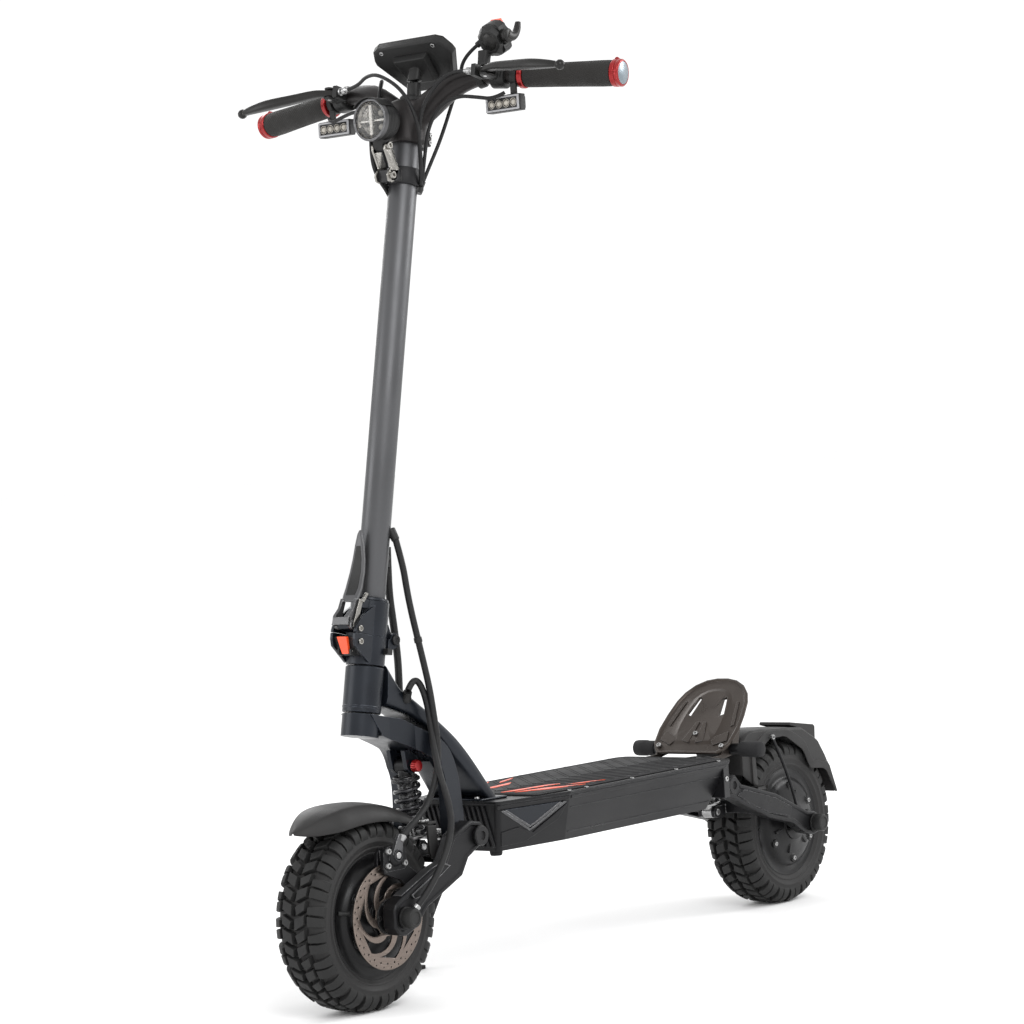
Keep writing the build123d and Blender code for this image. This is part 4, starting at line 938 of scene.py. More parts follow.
def mat():
    """The grip mat: a moulded sheet with chevron ridges, a border and plain orange slashes."""
    half = [(-246, 88), (-230, 98), (128, 98), (218, 92)]
    outline = rounded_outline(half + [(x, -y) for x, y in reversed(half)], 10)
    sheet = plan(outline, 254, 256.2)
    piece("grip_mat", sheet, "mat_rubber", "frame", bevel=0.9, replaces=["deck_mat"])
    ridges = []
    for step in range(15):
        x = -222 + 29 * step
        for side in (-1, 1):
            for offset in (0, 7):
                far = min(86, (x + offset + 236) * 1.05)
                if far < 12:
                    continue
                near = (x + offset, side * 2.0)
                tip = (x + offset - far * 0.9, side * far)
                ridges.append(plan([near, (near[0] + 2.4, near[1]), (tip[0] + 2.4, tip[1]), tip], 256, 256.9))
    border = rounded_outline([(x * 0.985, y * 0.95) for x, y in half] +
                             [(x * 0.985, -y * 0.95) for x, y in reversed(half)], 10)
    inner = [(x * 0.988 - 0.2, y * 0.975) for x, y in border]
    frame_points = [(x, y, 256) for x, y in border] + [(x, y, 256) for x, y in inner]
    rim = len(border)
    ring = (frame_points + [(x, y, 256.9) for x, y, _ in frame_points],
            [(i, (i + 1) % rim, (i + 1) % rim + rim, i + rim) for i in range(rim)]
            + [(i + 2 * rim, (i + 1) % rim + 2 * rim, (i + 1) % rim + 3 * rim, i + 3 * rim)
               for i in range(rim)] + [(i, (i + 1) % rim, (i + 1) % rim + 2 * rim, i + 2 * rim)
                                       for i in range(rim)] + [(i + rim, (i + 1) % rim + rim, (i + 1) % rim
                                                                + 3 * rim, i + 3 * rim) for i in range(rim)])
    piece("mat_ridges", join(ring, *ridges), "mat_rubber", "frame", bevel=0.3)
    slashes = []
    for side in (-1, 1):
        for x, y, long, wide, lean in ((204, 22, 110, 11, 12), (198, 42, 78, 12, 16), (176, 56, 84, 12, 20),
                                       (104, 60, 64, 10, 14)):
            slash = [(x, side * y), (x - 16, side * (y + wide)), (x - long, side * (y + wide + lean)),
                     (x - long + 22, side * (y + lean - 2))]
            slashes.append(plan(slash, 256, 257.0))
    piece("mat_slashes", join(*slashes), "orange_plastic", "frame", bevel=0.3)


KICK = Matrix.Translation((-286, 0, 256)) @ Matrix.Rotation(math.radians(180), 4, "Z") \
    @ Matrix.Rotation(math.radians(-44), 4, "Y")


def kick_plate():
    """The sloping foot rest: a rimmed plate with facets, two slots and side stays."""
    half = [(0, 56), (6, 63), (20, 71), (48, 74), (78, 71), (104, 66), (122, 58), (137, 45), (147, 28),
            (151, 10)]
    outline = half + [(u, -v) for u, v in reversed(half)]
    centre = (72, 0)

    def inset(share_u, share_v, height):
        return [(centre[0] + (u - centre[0]) * share_u, v * share_v, height) for u, v in outline]

    rings = [inset(0.97, 0.97, -1.0), inset(1, 1, 0.4), inset(1, 1, 3.0), inset(0.985, 0.98, 4.2),
             inset(0.955, 0.935, 4.2), inset(0.93, 0.90, 2.0), inset(0.74, 0.62, 2.0), inset(0.66, 0.50, 4.0),
             inset(0.30, 0.20, 3.2)]
    plate = piece("kick_plate_panel", placed(loft(rings), KICK), "gunmetal", "frame", replaces=["kick_plate"],
                  angle=14, bevel=0.5)
    slots = []
    for side in (-1, 1):
        corners = [(74, side * 26), (110, side * 20), (112, side * 26), (78, side * 34)]
        slots.append(plan(corners, -8, 12))
    cut(plate, placed(join(*slots), KICK))
    creases = []
    for side in (-1, 1):
        creases.append(plan([(16, side * 40), (30, side * 30), (44, side * 58), (26, side * 62)], 1.6, 3.6))
        creases.append(plan([(20, side * 6), (62, side * 3), (62, side * 9), (24, side * 20)], 3.0, 4.6))
        creases.append(plan([(54, side * 56), (104, side * 46), (104, side * 51), (58, side * 62)], 1.6, 3.4))
    piece("kick_plate_creases", placed(join(*creases), KICK), "gunmetal", "frame", bevel=0.7)
    stay = slab([(-259, 249), (-259, 254.6), (-286, 255.5), (-343, 310), (-341, 290), (-330, 255),
                 (-292, 249)], 57, 62)
    piece("kick_plate_stays", both(stay), "gunmetal", "frame", bevel=0.9)
    bolts = [placed(socket_bolt((u, v, 4), (0, 0, 1), 4, 2.6), KICK) for u,
             v in ((14, -58), (14, 58), (38, 0))]
    piece("kick_plate_bolts", join(*bolts), "bearing_steel", "frame")
    sleeve = [(9, 78), (10.5, 79), (11.5, 82), (11.5, 94), (12.3, 96), (12.3, 112), (11.4, 116), (8, 118.6),
              (2, 119)]
    ends = [placed(lathe(sleeve, 40), along_y(-315, 0, 262, side)) for side in (-1, 1)]
    tube = placed(lathe([(9, -110), (9, 110)], 40), along_y(-315, 0, 262))
    piece("grab_bar_tube", tube, "black_steel", "frame", replaces=["grab_bar"])
    piece("grab_bar_sleeves", join(*ends), "mat_rubber", "frame", replaces=["grab_bar"])


def cut(made, shape):
    """Cuts a shape out of a piece, and keeps the result as its mesh."""
    mesh = bpy.data.meshes.new("cutter")
    mesh.from_pydata([MM * Vector(p) for p in shape[0]], [], shape[1])
    work = bmesh.new()
    work.from_mesh(mesh)
    bmesh.ops.recalc_face_normals(work, faces=work.faces)
    work.to_mesh(mesh)
    work.free()
    cutter = bpy.data.objects.new("cutter", mesh)
    bpy.context.scene.collection.objects.link(cutter)
    modifiers = [(m.name, m.show_viewport) for m in made.modifiers]
    for name, _ in modifiers:
        made.modifiers[name].show_viewport = False
    boolean = made.modifiers.new("cut", "BOOLEAN")
    boolean.operation = "DIFFERENCE"
    boolean.object = cutter
    boolean.solver = "EXACT"
    bpy.context.view_layer.update()
    result = bpy.data.meshes.new_from_object(made.evaluated_get(bpy.context.evaluated_depsgraph_get()))
    made.modifiers.remove(boolean)
    made.data = result
    for name, shown in modifiers:
        made.modifiers[name].show_viewport = shown
    bpy.data.objects.remove(cutter)


# Suspension

FRONT_ARM = [(320, 209), (321, 222), (330, 233), (352, 237), (388, 222.5), (393, 219), (411, 190), (416, 187),
             (434, 183), (508, 152), (516, 147), (520, 140), (520, 116), (512, 106), (498, 103), (478, 110),
             (450, 135), (375, 166), (360, 188), (336, 200)]
REAR_ARM = [(-254, 200), (-254, 224), (-260, 227), (-286, 226), (-302, 210), (-395, 185), (-482, 147),
            (-500, 145), (-513, 138), (-516, 124), (-509, 112), (-494, 109), (-474, 114), (-440, 134),
            (-376, 150), (-352, 160), (-320, 172), (-283, 189)]


def shrunk(outline, amount):
    """An outline moved inward by an amount."""
    made = []
    count = len(outline)
    for i in range(count):
        before, here, after = [Vector(outline[(i + k) % count]) for k in (-1, 0, 1)]
        a, b = (here - before).normalized(), (after - here).normalized()
        normal = Vector((-(a + b).y, (a + b).x)).normalized()
        shift = amount / max(0.5, normal.dot(Vector((-a.y, a.x))))
        made.append((here - normal * shift)[:])
    return made


def signed_area(outline):
    """Twice an outline's area, with its sign."""
    return sum(x0 * z1 - x1 * z0 for (x0, z0), (x1, z1) in zip(outline, outline[1:] + outline[:1]))


def arm_shape(outline, side_panel):
    """A forged arm: chamfered edges, and a shallow pocket on its outer side."""
    inward = 1 if signed_area(outline) < 0 else -1
    rings = []
    for y, amount in ((64, 1.8), (65.8, 0), (84.2, 0), (86, 1.8), (86, 5.5), (84.4, 7)):
        rings.append([(x, y, z) for x, z in shrunk(outline, inward * amount)])
    return join(loft(rings), side_panel)


def front_arm():
    """The front swingarm, its bridge, bosses, shock lug and pin."""
    rib = slab([(402, 182.5), (412, 186.6), (482, 155), (478, 149.6), (467, 150.6)], 84, 86.2)
    arm = arm_shape(FRONT_ARM, rib)
    boss = placed(lathe([(9, 50), (16, 50), (17, 51), (17, 65)], 40), along_y(336, 0, 215))
    lug = slab([(356, 189), (377, 189), (380, 202), (375, 211), (366, 211), (359, 204)], 9, 15)
    bridge = block((346, -64.5, 182), (377, 64.5, 190))
    piece("front_swingarm_forging", join(both(join(arm, boss, lug)), bridge), "arm_black", "front_arm",
          bevel=0.7, replaces=["front_swingarm"], angle=28)
    stripe = join(slab([(401, 183.2), (412, 188), (484, 155.4), (483, 153.8), (412, 186), (403, 182.2)], 84,
                       87), slab([(401, 183.2), (403, 183), (467.4, 151.4), (478, 150.2), (482, 155),
                                  (484, 155.4), (479, 148.8), (467, 149.8)], 84, 87))
    edge = slab([(392, 220.6), (413.4, 189.4), (434.4, 184), (500, 156.8), (500, 155.4), (434, 182.6),
                 (412.6, 188), (391, 219.4)], 68, 82)
    piece("front_arm_bright_edges", both(join(stripe, edge)), "lever_grey", "front_arm", bevel=0.3)
    caps = []
    for side in (-1, 1):
        cap = lathe([(8, 0), (13.2, 0), (14, 1.2), (14, 4.2), (12.6, 6), (6.5, 6), (6, 3.6), (1, 3.6)], 40)
        caps.append(placed(cap, along_y(336, side * 86.3, 215, side)))
    piece("front_pivot_caps", join(*caps), "black_steel", "fork", replaces=["fork_fasteners"])
    piece("front_shock_lower_pin", rod((370, -17, 202), (370, 17, 202), 5), "bearing_steel", "front_arm",
          replaces=["front_axle"])


def rear_arm():
    """The rear swingarm, its bridge, bosses, shock lug and pin."""
    rib = slab([(-306, 202), (-392, 179), (-436, 160), (-430, 146), (-374, 158), (-320, 179), (-292, 193)],
               84, 86.4)
    arm = arm_shape(REAR_ARM, rib)
    lug = slab([(-360, 158), (-360, 172), (-345, 171), (-332, 171), (-326, 164), (-328, 155), (-336, 152.5),
                (-346, 153)], 9, 15)
    bridge = block((-368, -64.5, 158), (-358, 64.5, 178))
    piece("rear_swingarm_forging", join(both(join(arm, lug)), bridge), "arm_black", "rear_arm",
          bevel=0.7, replaces=["rear_swingarm"], angle=28)
    caps = []
    for side in (-1, 1):
        cap = lathe([(8, 0), (12.4, 0), (13, 1.2), (13, 5), (11.8, 6.6), (6.5, 6.6), (6, 4), (1, 4)], 40)
        caps.append(placed(cap, along_y(-272, side * 86.3, 212, side)))
    piece("rear_pivot_caps", join(*caps), "black_steel", "frame",
          replaces=["deck_fittings"])
    shaft = join(rod((-272, -86, 212), (-272, 86, 212), 8), rod((-322, -18, 238), (-322, 18, 238), 5))
    piece("rear_pivot_shafts", shaft, "bearing_steel", "frame", replaces=["deck_fittings"])
    piece("rear_shock_lower_pin", rod((-336, -17, 162), (-336, 17, 162), 5), "bearing_steel", "rear_arm",
          replaces=["rear_axle"])


def shock(end, upper, lower):
    """A coil-over shock: threaded body, rod, seats and spring. The spring is a plain mesh between the halves.
    """
    way = Vector((lower[0] - upper[0], 0, lower[1] - upper[1]))
    place = along((upper[0], 0, upper[1]), (lower[0], 0, lower[1]))
    length = way.length
    eye = placed(lathe([(5.1, -9.4), (9.4, -9.4), (10, -8.8), (10, 8.8), (9.4, 9.4), (5.1, 9.4)], 36,
                       cap=False), along_y())
    eye = placed(eye, Matrix.Translation((upper[0], 0, upper[1])))
    threads = []
    for step in range(int((0.6 * length - 22) / 2.2)):
        low = 22 + 2.2 * step
        threads += [(12, low), (12, low + 0.5), (11.2, low + 1.1), (11.2, low + 1.6)]
    body = lathe([(8, 6), (9, 8), (9, 14), (16.2, 14), (17, 14.6), (17, 17), (19.2, 17), (20, 17.8),
                  (20, 20.2), (19.2, 21), (12, 21)] + threads + [(12, 0.62 * length), (10, 0.62 * length)],
                 48)
    piece(f"{end}_shock_upper", join(eye, placed(body, place)), "arm_black", f"{end}_shock_body",
          replaces=[f"{end}_shock_body"], angle=30)
    low_eye = placed(lathe([(5.75, -8.5), (9, -8.5), (9.5, -8), (9.5, 8), (9, 8.5), (5.75, 8.5)], 36,
                           cap=False), along_y())
    low_eye = placed(low_eye, Matrix.Translation((lower[0], 0, lower[1])))
    shaft = lathe([(5, 0.4 * length), (5, length - 17), (19.2, length - 17), (20, length - 16.2),
                   (20, length - 13.8), (19.2, length - 13), (9, length - 13), (9, length - 6)], 48)
    piece(f"{end}_shock_lower", join(low_eye, placed(shaft, place)), "bearing_steel",
          f"{end}_shock_rod", replaces=[f"{end}_shock_rod"], angle=30)
    low, high, turns = 24.2, length - 20.2, max(3.5, (length - 44) / 12.5)
    steps = int(turns * 20)
    coil = []
    for i in range(steps + 1):
        turn = math.tau * turns * i / steps
        coil.append(place @ Vector((16.6 * math.cos(turn), 16.6 * math.sin(turn), low
                                    + (high - low) * i / steps)))
    start, finish = place @ Vector((0, 0, low)), place @ Vector((0, 0, high))
    cable(f"{end}_shock_coil", coil, 3.0, "spring_grey", replaces=[f"{end}_spring"],
          across=(f"{end}_shock_body", f"{end}_shock_rod", start, finish))


# Fork and fold

def fork_details():
    """Bolts of the fold, the front shock's upper pin with its red knob, and the cable clip."""
    hinge = [rod((-33, -20.9, 505), (-33, 20.9, 505), 5)]
    for side in (-1, 1):
        head = lathe([(3, 0), (7, 0), (7.2, 0.6), (7.2, 2.6), (6.4, 3.6), (3.6, 3.6), (3.2, 2.2), (0.5, 2.2)],
                     36)
        hinge.append(placed(head, along_y(-33, side * 21, 505, side)))
    piece("fold_hinge_bolt", placed(join(*hinge), STEER), "black_steel", "fork", replaces=["fork_fasteners"])
    screws = []
    for side in (-1, 1):
        screws.append(socket_bolt((38, side * 22, 494), (0, side, 0), 4.4, 2.4))
    screws.append(rod((40.5, -12.2, 481), (40.5, 12.2, 481), 1.2))
    piece("fold_screws", placed(join(*screws), STEER), "chrome", "fork", replaces=["fork_fasteners"])
    piece("front_shock_upper_pin", rod((384, -18, 314), (384, 18, 314), 5), "bearing_steel", "fork",
          replaces=["fork_fasteners"])
    knob = [(5, 0)]
    ridges = 14
    rings = []
    for radius, height in ((7.4, 0), (8.4, 1), (8.4, 8), (7.2, 9.6), (4, 10)):
        ring = []
        for i in range(ridges * 4):
            turn = math.tau * i / (ridges * 4)
            ring.append(((radius - 0.5 * (i % 4 < 2)) * math.cos(turn),
                         (radius - 0.5 * (i % 4 < 2)) * math.sin(turn), height))
        rings.append(ring)
    knob = placed(loft(rings), along_y(384, 18, 314))
    piece("shock_knob", knob, "red_anodised", "fork", replaces=["fork_fasteners"])
    shaft = rod((336, -86, 215), (336, 86, 215), 8)
    piece("front_pivot_shaft", shaft, "bearing_steel", "fork", replaces=["fork_fasteners"])
    clip = placed(lathe([(4.6, -3.5), (5.6, -3.5), (5.6, 3.5), (4.6, 3.5)], 28, cap=False),
                  along((383.3, 38, 484.8), (382.2, 38.9, 477)))
    strap = placed(slab([(-16, 482), (-6, 482), (-6, 490), (-16, 490)], 21, 33), STEER)
    piece("hose_clip", join(clip, strap), "black_plastic", "fork", bevel=0.5)


def latch():
    """The quick-release: leaf lever, orange catch, flat link and nut."""
    rings = []
    stations = [(547, 37.4, 44.6, 13.6), (556, 35, 41.6, 14.6), (566, 31.6, 37.8, 14.8),
                (588, 27.6, 33.4, 13.2), (606, 26.7, 31.9, 11), (626, 27, 32.8, 7.8), (640, 27.8, 33.6, 4.2),
                (645.5, 29.4, 32.4, 1.4)]
    for s, back, front, half in stations:
        middle, deep = (back + front) / 2, (front - back) / 2
        rings.append([(middle + deep * v, half * u, s) for u, v in superellipse(2.8, 28)])
    blade = loft(rings)
    knuckle = both(join(placed(lathe([(3.1, 0), (6, 0), (6.5, 0.6), (6.5, 5.5), (6, 6.1), (3.1, 6.1)], 36,
                                     cap=False), along_y(46, 9.4, 515)),
                        slab([(43, 519), (50, 511.6), (57, 514), (57, 526), (48.6, 537), (44.4, 551),
                              (37.6, 551), (42, 530)], 9.4, 14)))
    bar = slab([(54, 514), (57, 514), (57.2, 524), (54, 525)], -14, 14)
    piece("latch_leaf", placed(join(blade, knuckle, bar), STEER), "lever_grey", "latch_lever", bevel=0.5,
          replaces=["latch_lever"], angle=50)
    inlay = []
    for s, front, half in ((556, 42, 8), (566, 38.2, 9), (588, 33.8, 8.2), (606, 32.3, 6.4), (624, 33, 3.6)):
        inlay.append([(front, -half, s), (front, half, s), (front - 3, half, s - 0.6),
                      (front - 3, -half, s - 0.6)])
    piece("latch_inlay", placed(loft(inlay), STEER), "black_plastic", "latch_lever", bevel=0.5)
    catch = loft([[(38, -6, 479), (38, 6, 479), (41.8, 6, 476.4), (41.8, -6, 476.4)],
                  [(47.6, -8.5, 499.6), (47.6, 8.5, 499.6), (53, 8.5, 498.6), (53, -8.5, 498.6)]])
    piece("catch_shell", placed(catch, STEER), "orange_plastic", "safety_catch", bevel=1.0,
          replaces=["safety_catch"])
    parts = [rod((46, -17.4, 515), (46, 17.4, 515), 3)]
    parts.append(slab([(42.6, 512), (49.4, 512), (50, 517), (41, 551), (34.6, 549)], 15.9, 17.8))
    start, end = Vector((36, 17.6, 547)), Vector((28, 17.6, 560))
    parts.append(rod(start, end, 2.6))
    parts.append(placed(lathe([(1.6, 0), (3.2, 0.4), (3.2, 5.4), (1.6, 6)], 6),
                        along(start + (end - start) * 0.4, end)))
    for side in (-1, 1):
        parts.append(socket_bolt((40.7, side * 22, 511), (0, side, 0), 4.4, 2.4))
    piece("draw_link", placed(join(*parts), STEER), "chrome", "stem", bevel=0.3,
          replaces=["latch_rod"])
    seat = block((22, 14.6, 540), (35.6, 17.6, 552))
    piece("draw_seat", placed(seat, STEER), "blue_black", "stem", bevel=0.6)


# Stem and handlebar

BAR_POINTS = [(-2, 22, 1232), (-8, 70, 1264), (-17, 115, 1276), (-30, 168, 1273), (-57, 319, 1265.5)]
BAR_RADII = [18, 16, 13, 11, 11]


def bar_at(distance):
    """A point of the straight outer part of the bar, by its distance to the left."""
    inner, outer = Vector(BAR_POINTS[-2]), Vector(BAR_POINTS[-1])
    return inner.lerp(outer, (distance - inner.y) / (outer.y - inner.y))


def stem():
    """The stem tube with its collar groove and cable gland."""
    profile = [(17, 509), (19.4, 509), (20, 510), (20, 1239), (19.4, 1240), (17, 1240)]
    tube = lathe(profile, 96)
    piece("stem_outer", placed(tube, STEER), "stem_grey", "stem", replaces=["stem_tube"])
    sleeve = lathe([(20, 552.5), (24.6, 552.5), (25, 553.4), (24.4, 556), (21, 557.4), (20, 557.6)], 72)
    piece("clamp_collar", placed(sleeve, STEER), "blue_black", "stem")
    glands = [rod((-12.5, 15, 653), (-17, 22.4, 638.6), 6.4, 5.6)]
    for u, y, s, way in ((-14, 14, 1126, (-6, 6, 22)), (-19.5, 0, 616, (-5, 4, -24))):
        base = Vector((u, y, s))
        slot_shape = lathe([(8.4, -4), (8.4, 3), (7, 6), (6.4, 14)], 32)
        glands.append(placed(slot_shape, along(base, base + Vector(way))))
    piece("stem_glands", placed(join(*glands), STEER), "black_plastic", "stem")


def smooth_bar():
    """The one-piece gull-wing bar, blended into its collar by remeshing."""
    route = smooth_line([(0, 0, 1222)] + BAR_POINTS, 8)
    sizes = smooth_line([(18, 20)] + list(zip(BAR_RADII, (21, 17, 13, 11, 11))), 8)
    rings = []
    for i, (point, size) in enumerate(zip(route, sizes)):
        way = (route[min(i + 1, len(route) - 1)] - route[max(i - 1, 0)]).normalized()
        side = Vector((1, 0, 0))
        side = (side - way * side.dot(way)).normalized()
        up = way.cross(side)
        rings.append([point + side * size[0] * math.cos(a) + up * size[1] * math.sin(a)
                      for a in [math.tau * k / 28 for k in range(28)]])
    arm = loft(rings)
    collar = lathe([(26, 1186), (27, 1187), (27, 1244), (25.5, 1246), (8, 1246)], 64)
    made = piece("gull_wing_bar", placed(join(both(arm), collar), STEER), "bar_grey", None,
                 angle=60)
    remesh = made.modifiers.new("weld", "REMESH")
    remesh.mode = "VOXEL"
    remesh.voxel_size = 2.4 * MM
    soften = made.modifiers.new("soften", "SMOOTH")
    soften.factor = 0.5
    soften.iterations = 9
    bpy.context.view_layer.update()
    result = bpy.data.meshes.new_from_object(made.evaluated_get(bpy.context.evaluated_depsgraph_get()))
    made.modifiers.clear()
    made.data = result
    result.shade_smooth()
    settle(made, "stem", replaces=["handlebar"])
    slit = placed(block((-29, 9, 1184), (-23, 10.2, 1214)), STEER)
    ears = placed(join(block((-31, 11, 1190), (-22, 19, 1210))), STEER)
    piece("collar_slit", slit, "black_plastic", "stem")
    piece("collar_ear", ears, "bar_grey", "stem", bevel=1.5)
    bolts = [socket_bolt((-26.5, 19, s), (0, 1, 0), 3, 2.4) for s in (1195, 1205)]
    piece("collar_bolts", placed(join(*bolts), STEER), "bearing_steel", "stem")


def grip(side):
    """A rubber grip with a palm rest, red lock rings and an end disc."""
    name = "left" if side > 0 else "right"
    way = (bar_at(319) - bar_at(168)).normalized()
    back = Vector((-1, 0, 0))
    back = (back - way * back.dot(way)).normalized()
    down = way.cross(back)
    rings = []
    profile = [(177.8, 12.6, 0), (178.2, 15.4, 0), (180, 16, 0), (200, 16.2, 0.4), (225, 16.4, 1.0),
               (250, 16.8, 2.2), (272, 17.2, 4.2), (290, 17.6, 5.4), (302, 17.6, 4.6), (307.6, 17.2, 2.4),
               (308.2, 15, 1)]
    for distance, radius, palm in profile:
        middle = bar_at(distance)
        ring = []
        for k in range(40):
            a = math.tau * k / 40
            swell = radius + palm * max(0.0, math.cos(a)) ** 2
            ring.append(middle + back * swell * math.cos(a) + down * radius * math.sin(a))
        rings.append(ring)
    parts = [("grip_rubber", loft(rings), "grip_rubber", "grip_rubber", 0)]
    lock = []
    for start, end, radius in ((170, 177.6, 17.4), (308.4, 315.6, 18.6)):
        ring = lathe([(11.1, 0), (radius - 1.2, 0), (radius, 1), (radius, end - start - 1),
                      (radius - 1.2, end - start), (11.1, end - start)], 56)
        lock.append(placed(ring, along(bar_at(start), bar_at(end))))
        ear = bar_at((start + end) / 2) + down * (radius - 1)
        lock.append(rod(ear - back * 5, ear + back * 5, 3.4))
    parts.append(("lock_rings", join(*lock), "red_anodised", "orange_plastic", 0.3))
    disc = lathe([(18, 0), (18.4, 0.8), (18.4, 4.4), (17, 5.8), (15.6, 6), (15.2, 5.2), (6, 5.0), (0.4, 5.0)],
                 56)
    parts.append(("end_disc", placed(disc, along(bar_at(315.8), bar_at(330))), "red_anodised",
                  "orange_plastic", 0))
    face = lathe([(15, 0), (15, 1.0), (14.2, 1.5), (0.4, 1.7)], 56)
    parts.append(("end_face", placed(face, along(bar_at(320.6), bar_at(330))), "end_disc", "button_grey", 0))
    for label, shape, finish, slot, bevel in parts:
        shape = placed(shape, STEER)
        if side < 0:
            shape = placed(shape, FLIP)
        piece(f"{name}_{label}", shape, finish, "stem", bevel=bevel, replaces=["grips"])


def swept(points, sizes, power=2.6, count=24, flat=(0, 0, 1)):
    """A bar along a smooth line, with (half thickness, half height) at each point."""
    route = smooth_line(points, 6)
    wide = smooth_line([Vector(s) for s in sizes], 6)
    rings = []
    for i, (point, size) in enumerate(zip(route, wide)):
        way = (route[min(i + 1, len(route) - 1)] - route[max(i - 1, 0)]).normalized()
        up = Vector(flat)
        up = (up - way * up.dot(way)).normalized()
        side = way.cross(up)
        rings.append([point + side * size[0] * u + up * size[1] * v for u, v in superellipse(power, count)])
    return loft(rings)


def brake_controls(side):
    """A lever bracket with its clamp and adjuster, and the ball-ended brake lever."""
    name = "left" if side > 0 else "right"
    turn = (lambda shape: placed(shape, STEER)) if side > 0 else (lambda shape: placed(shape, FLIP, STEER))
    inner, outer = Vector(BAR_POINTS[2]), Vector(BAR_POINTS[3])
    way = (outer - inner) / 53
    clamp = lathe([(13, 0), (16.4, 0), (17.4, 1), (17.4, 20), (16.4, 21), (13, 21)], 48)
    clamp = placed(clamp, along(inner + way * 14.5, outer))
    arm = swept([(-22, 138, 1274), (-10, 139, 1274), (-1.5, 139, 1274)], [(10, 11), (10, 9.5), (10, 8.4)])
    end_wall = block((-4, 121, 1265.8), (19, 128.2, 1282.2))
    plates = join(*[swept([(-4, 139, s), (8, 140, s), (17, 141, s)], [(11, 1.6), (9, 1.6), (5, 1.6)], power=4)
                    for s in (1280.8, 1267.2)])
    band = block((-40, 132, 1268), (-30, 148, 1280))
    piece(f"{name}_lever_bracket", turn(join(clamp, arm, end_wall, plates, band)), "black_plastic", "stem",
          bevel=0.8, replaces=["bar_controls"])
    adjuster = []
    profile = [(3.4, 0), (5.4, 0.6), (5.4, 8), (4.2, 9), (4.2, 13), (5.2, 13.6), (5.2, 19), (3.2, 20.5),
               (3.0, 24)]
    adjuster.append(placed(lathe(profile, 24), along((9.25, 128, 1274.2), (12, 106, 1276))))
    adjuster.append(rod((10, 140, 1264.6), (10, 140, 1283.6), 3.0))
    adjuster.append(socket_bolt((-35, 140, 1280), (0, 0, 1), 3.4, 3))
    piece(f"{name}_lever_fittings", turn(join(*adjuster)), "bearing_steel", "stem", replaces=["bar_controls"])
    blade = swept([(9.5, 133, 1274), (13, 146, 1274), (18, 163, 1273.4), (25, 196, 1268.6), (33, 236, 1263),
                   (35, 264, 1259), (33.5, 284, 1256.2)],
                  [(5, 4.6), (6.6, 4.9), (7, 5.6), (7.4, 6.4), (7.8, 6.8), (5.6, 5.6), (3.6, 3.8)], power=3.4)
    ball = placed(lathe([(0.5, -7), (3.6, -6), (6, -3.6), (7, 0), (6, 3.6), (3.6, 6), (0.5, 7)], 28),
                  Matrix.Translation((33, 284.7, 1256)))
    piece(f"{name}_brake_blade", turn(join(blade, ball)), "brake_black", f"brake_lever_{name}",
          replaces=[f"brake_lever_{name}"], angle=50)


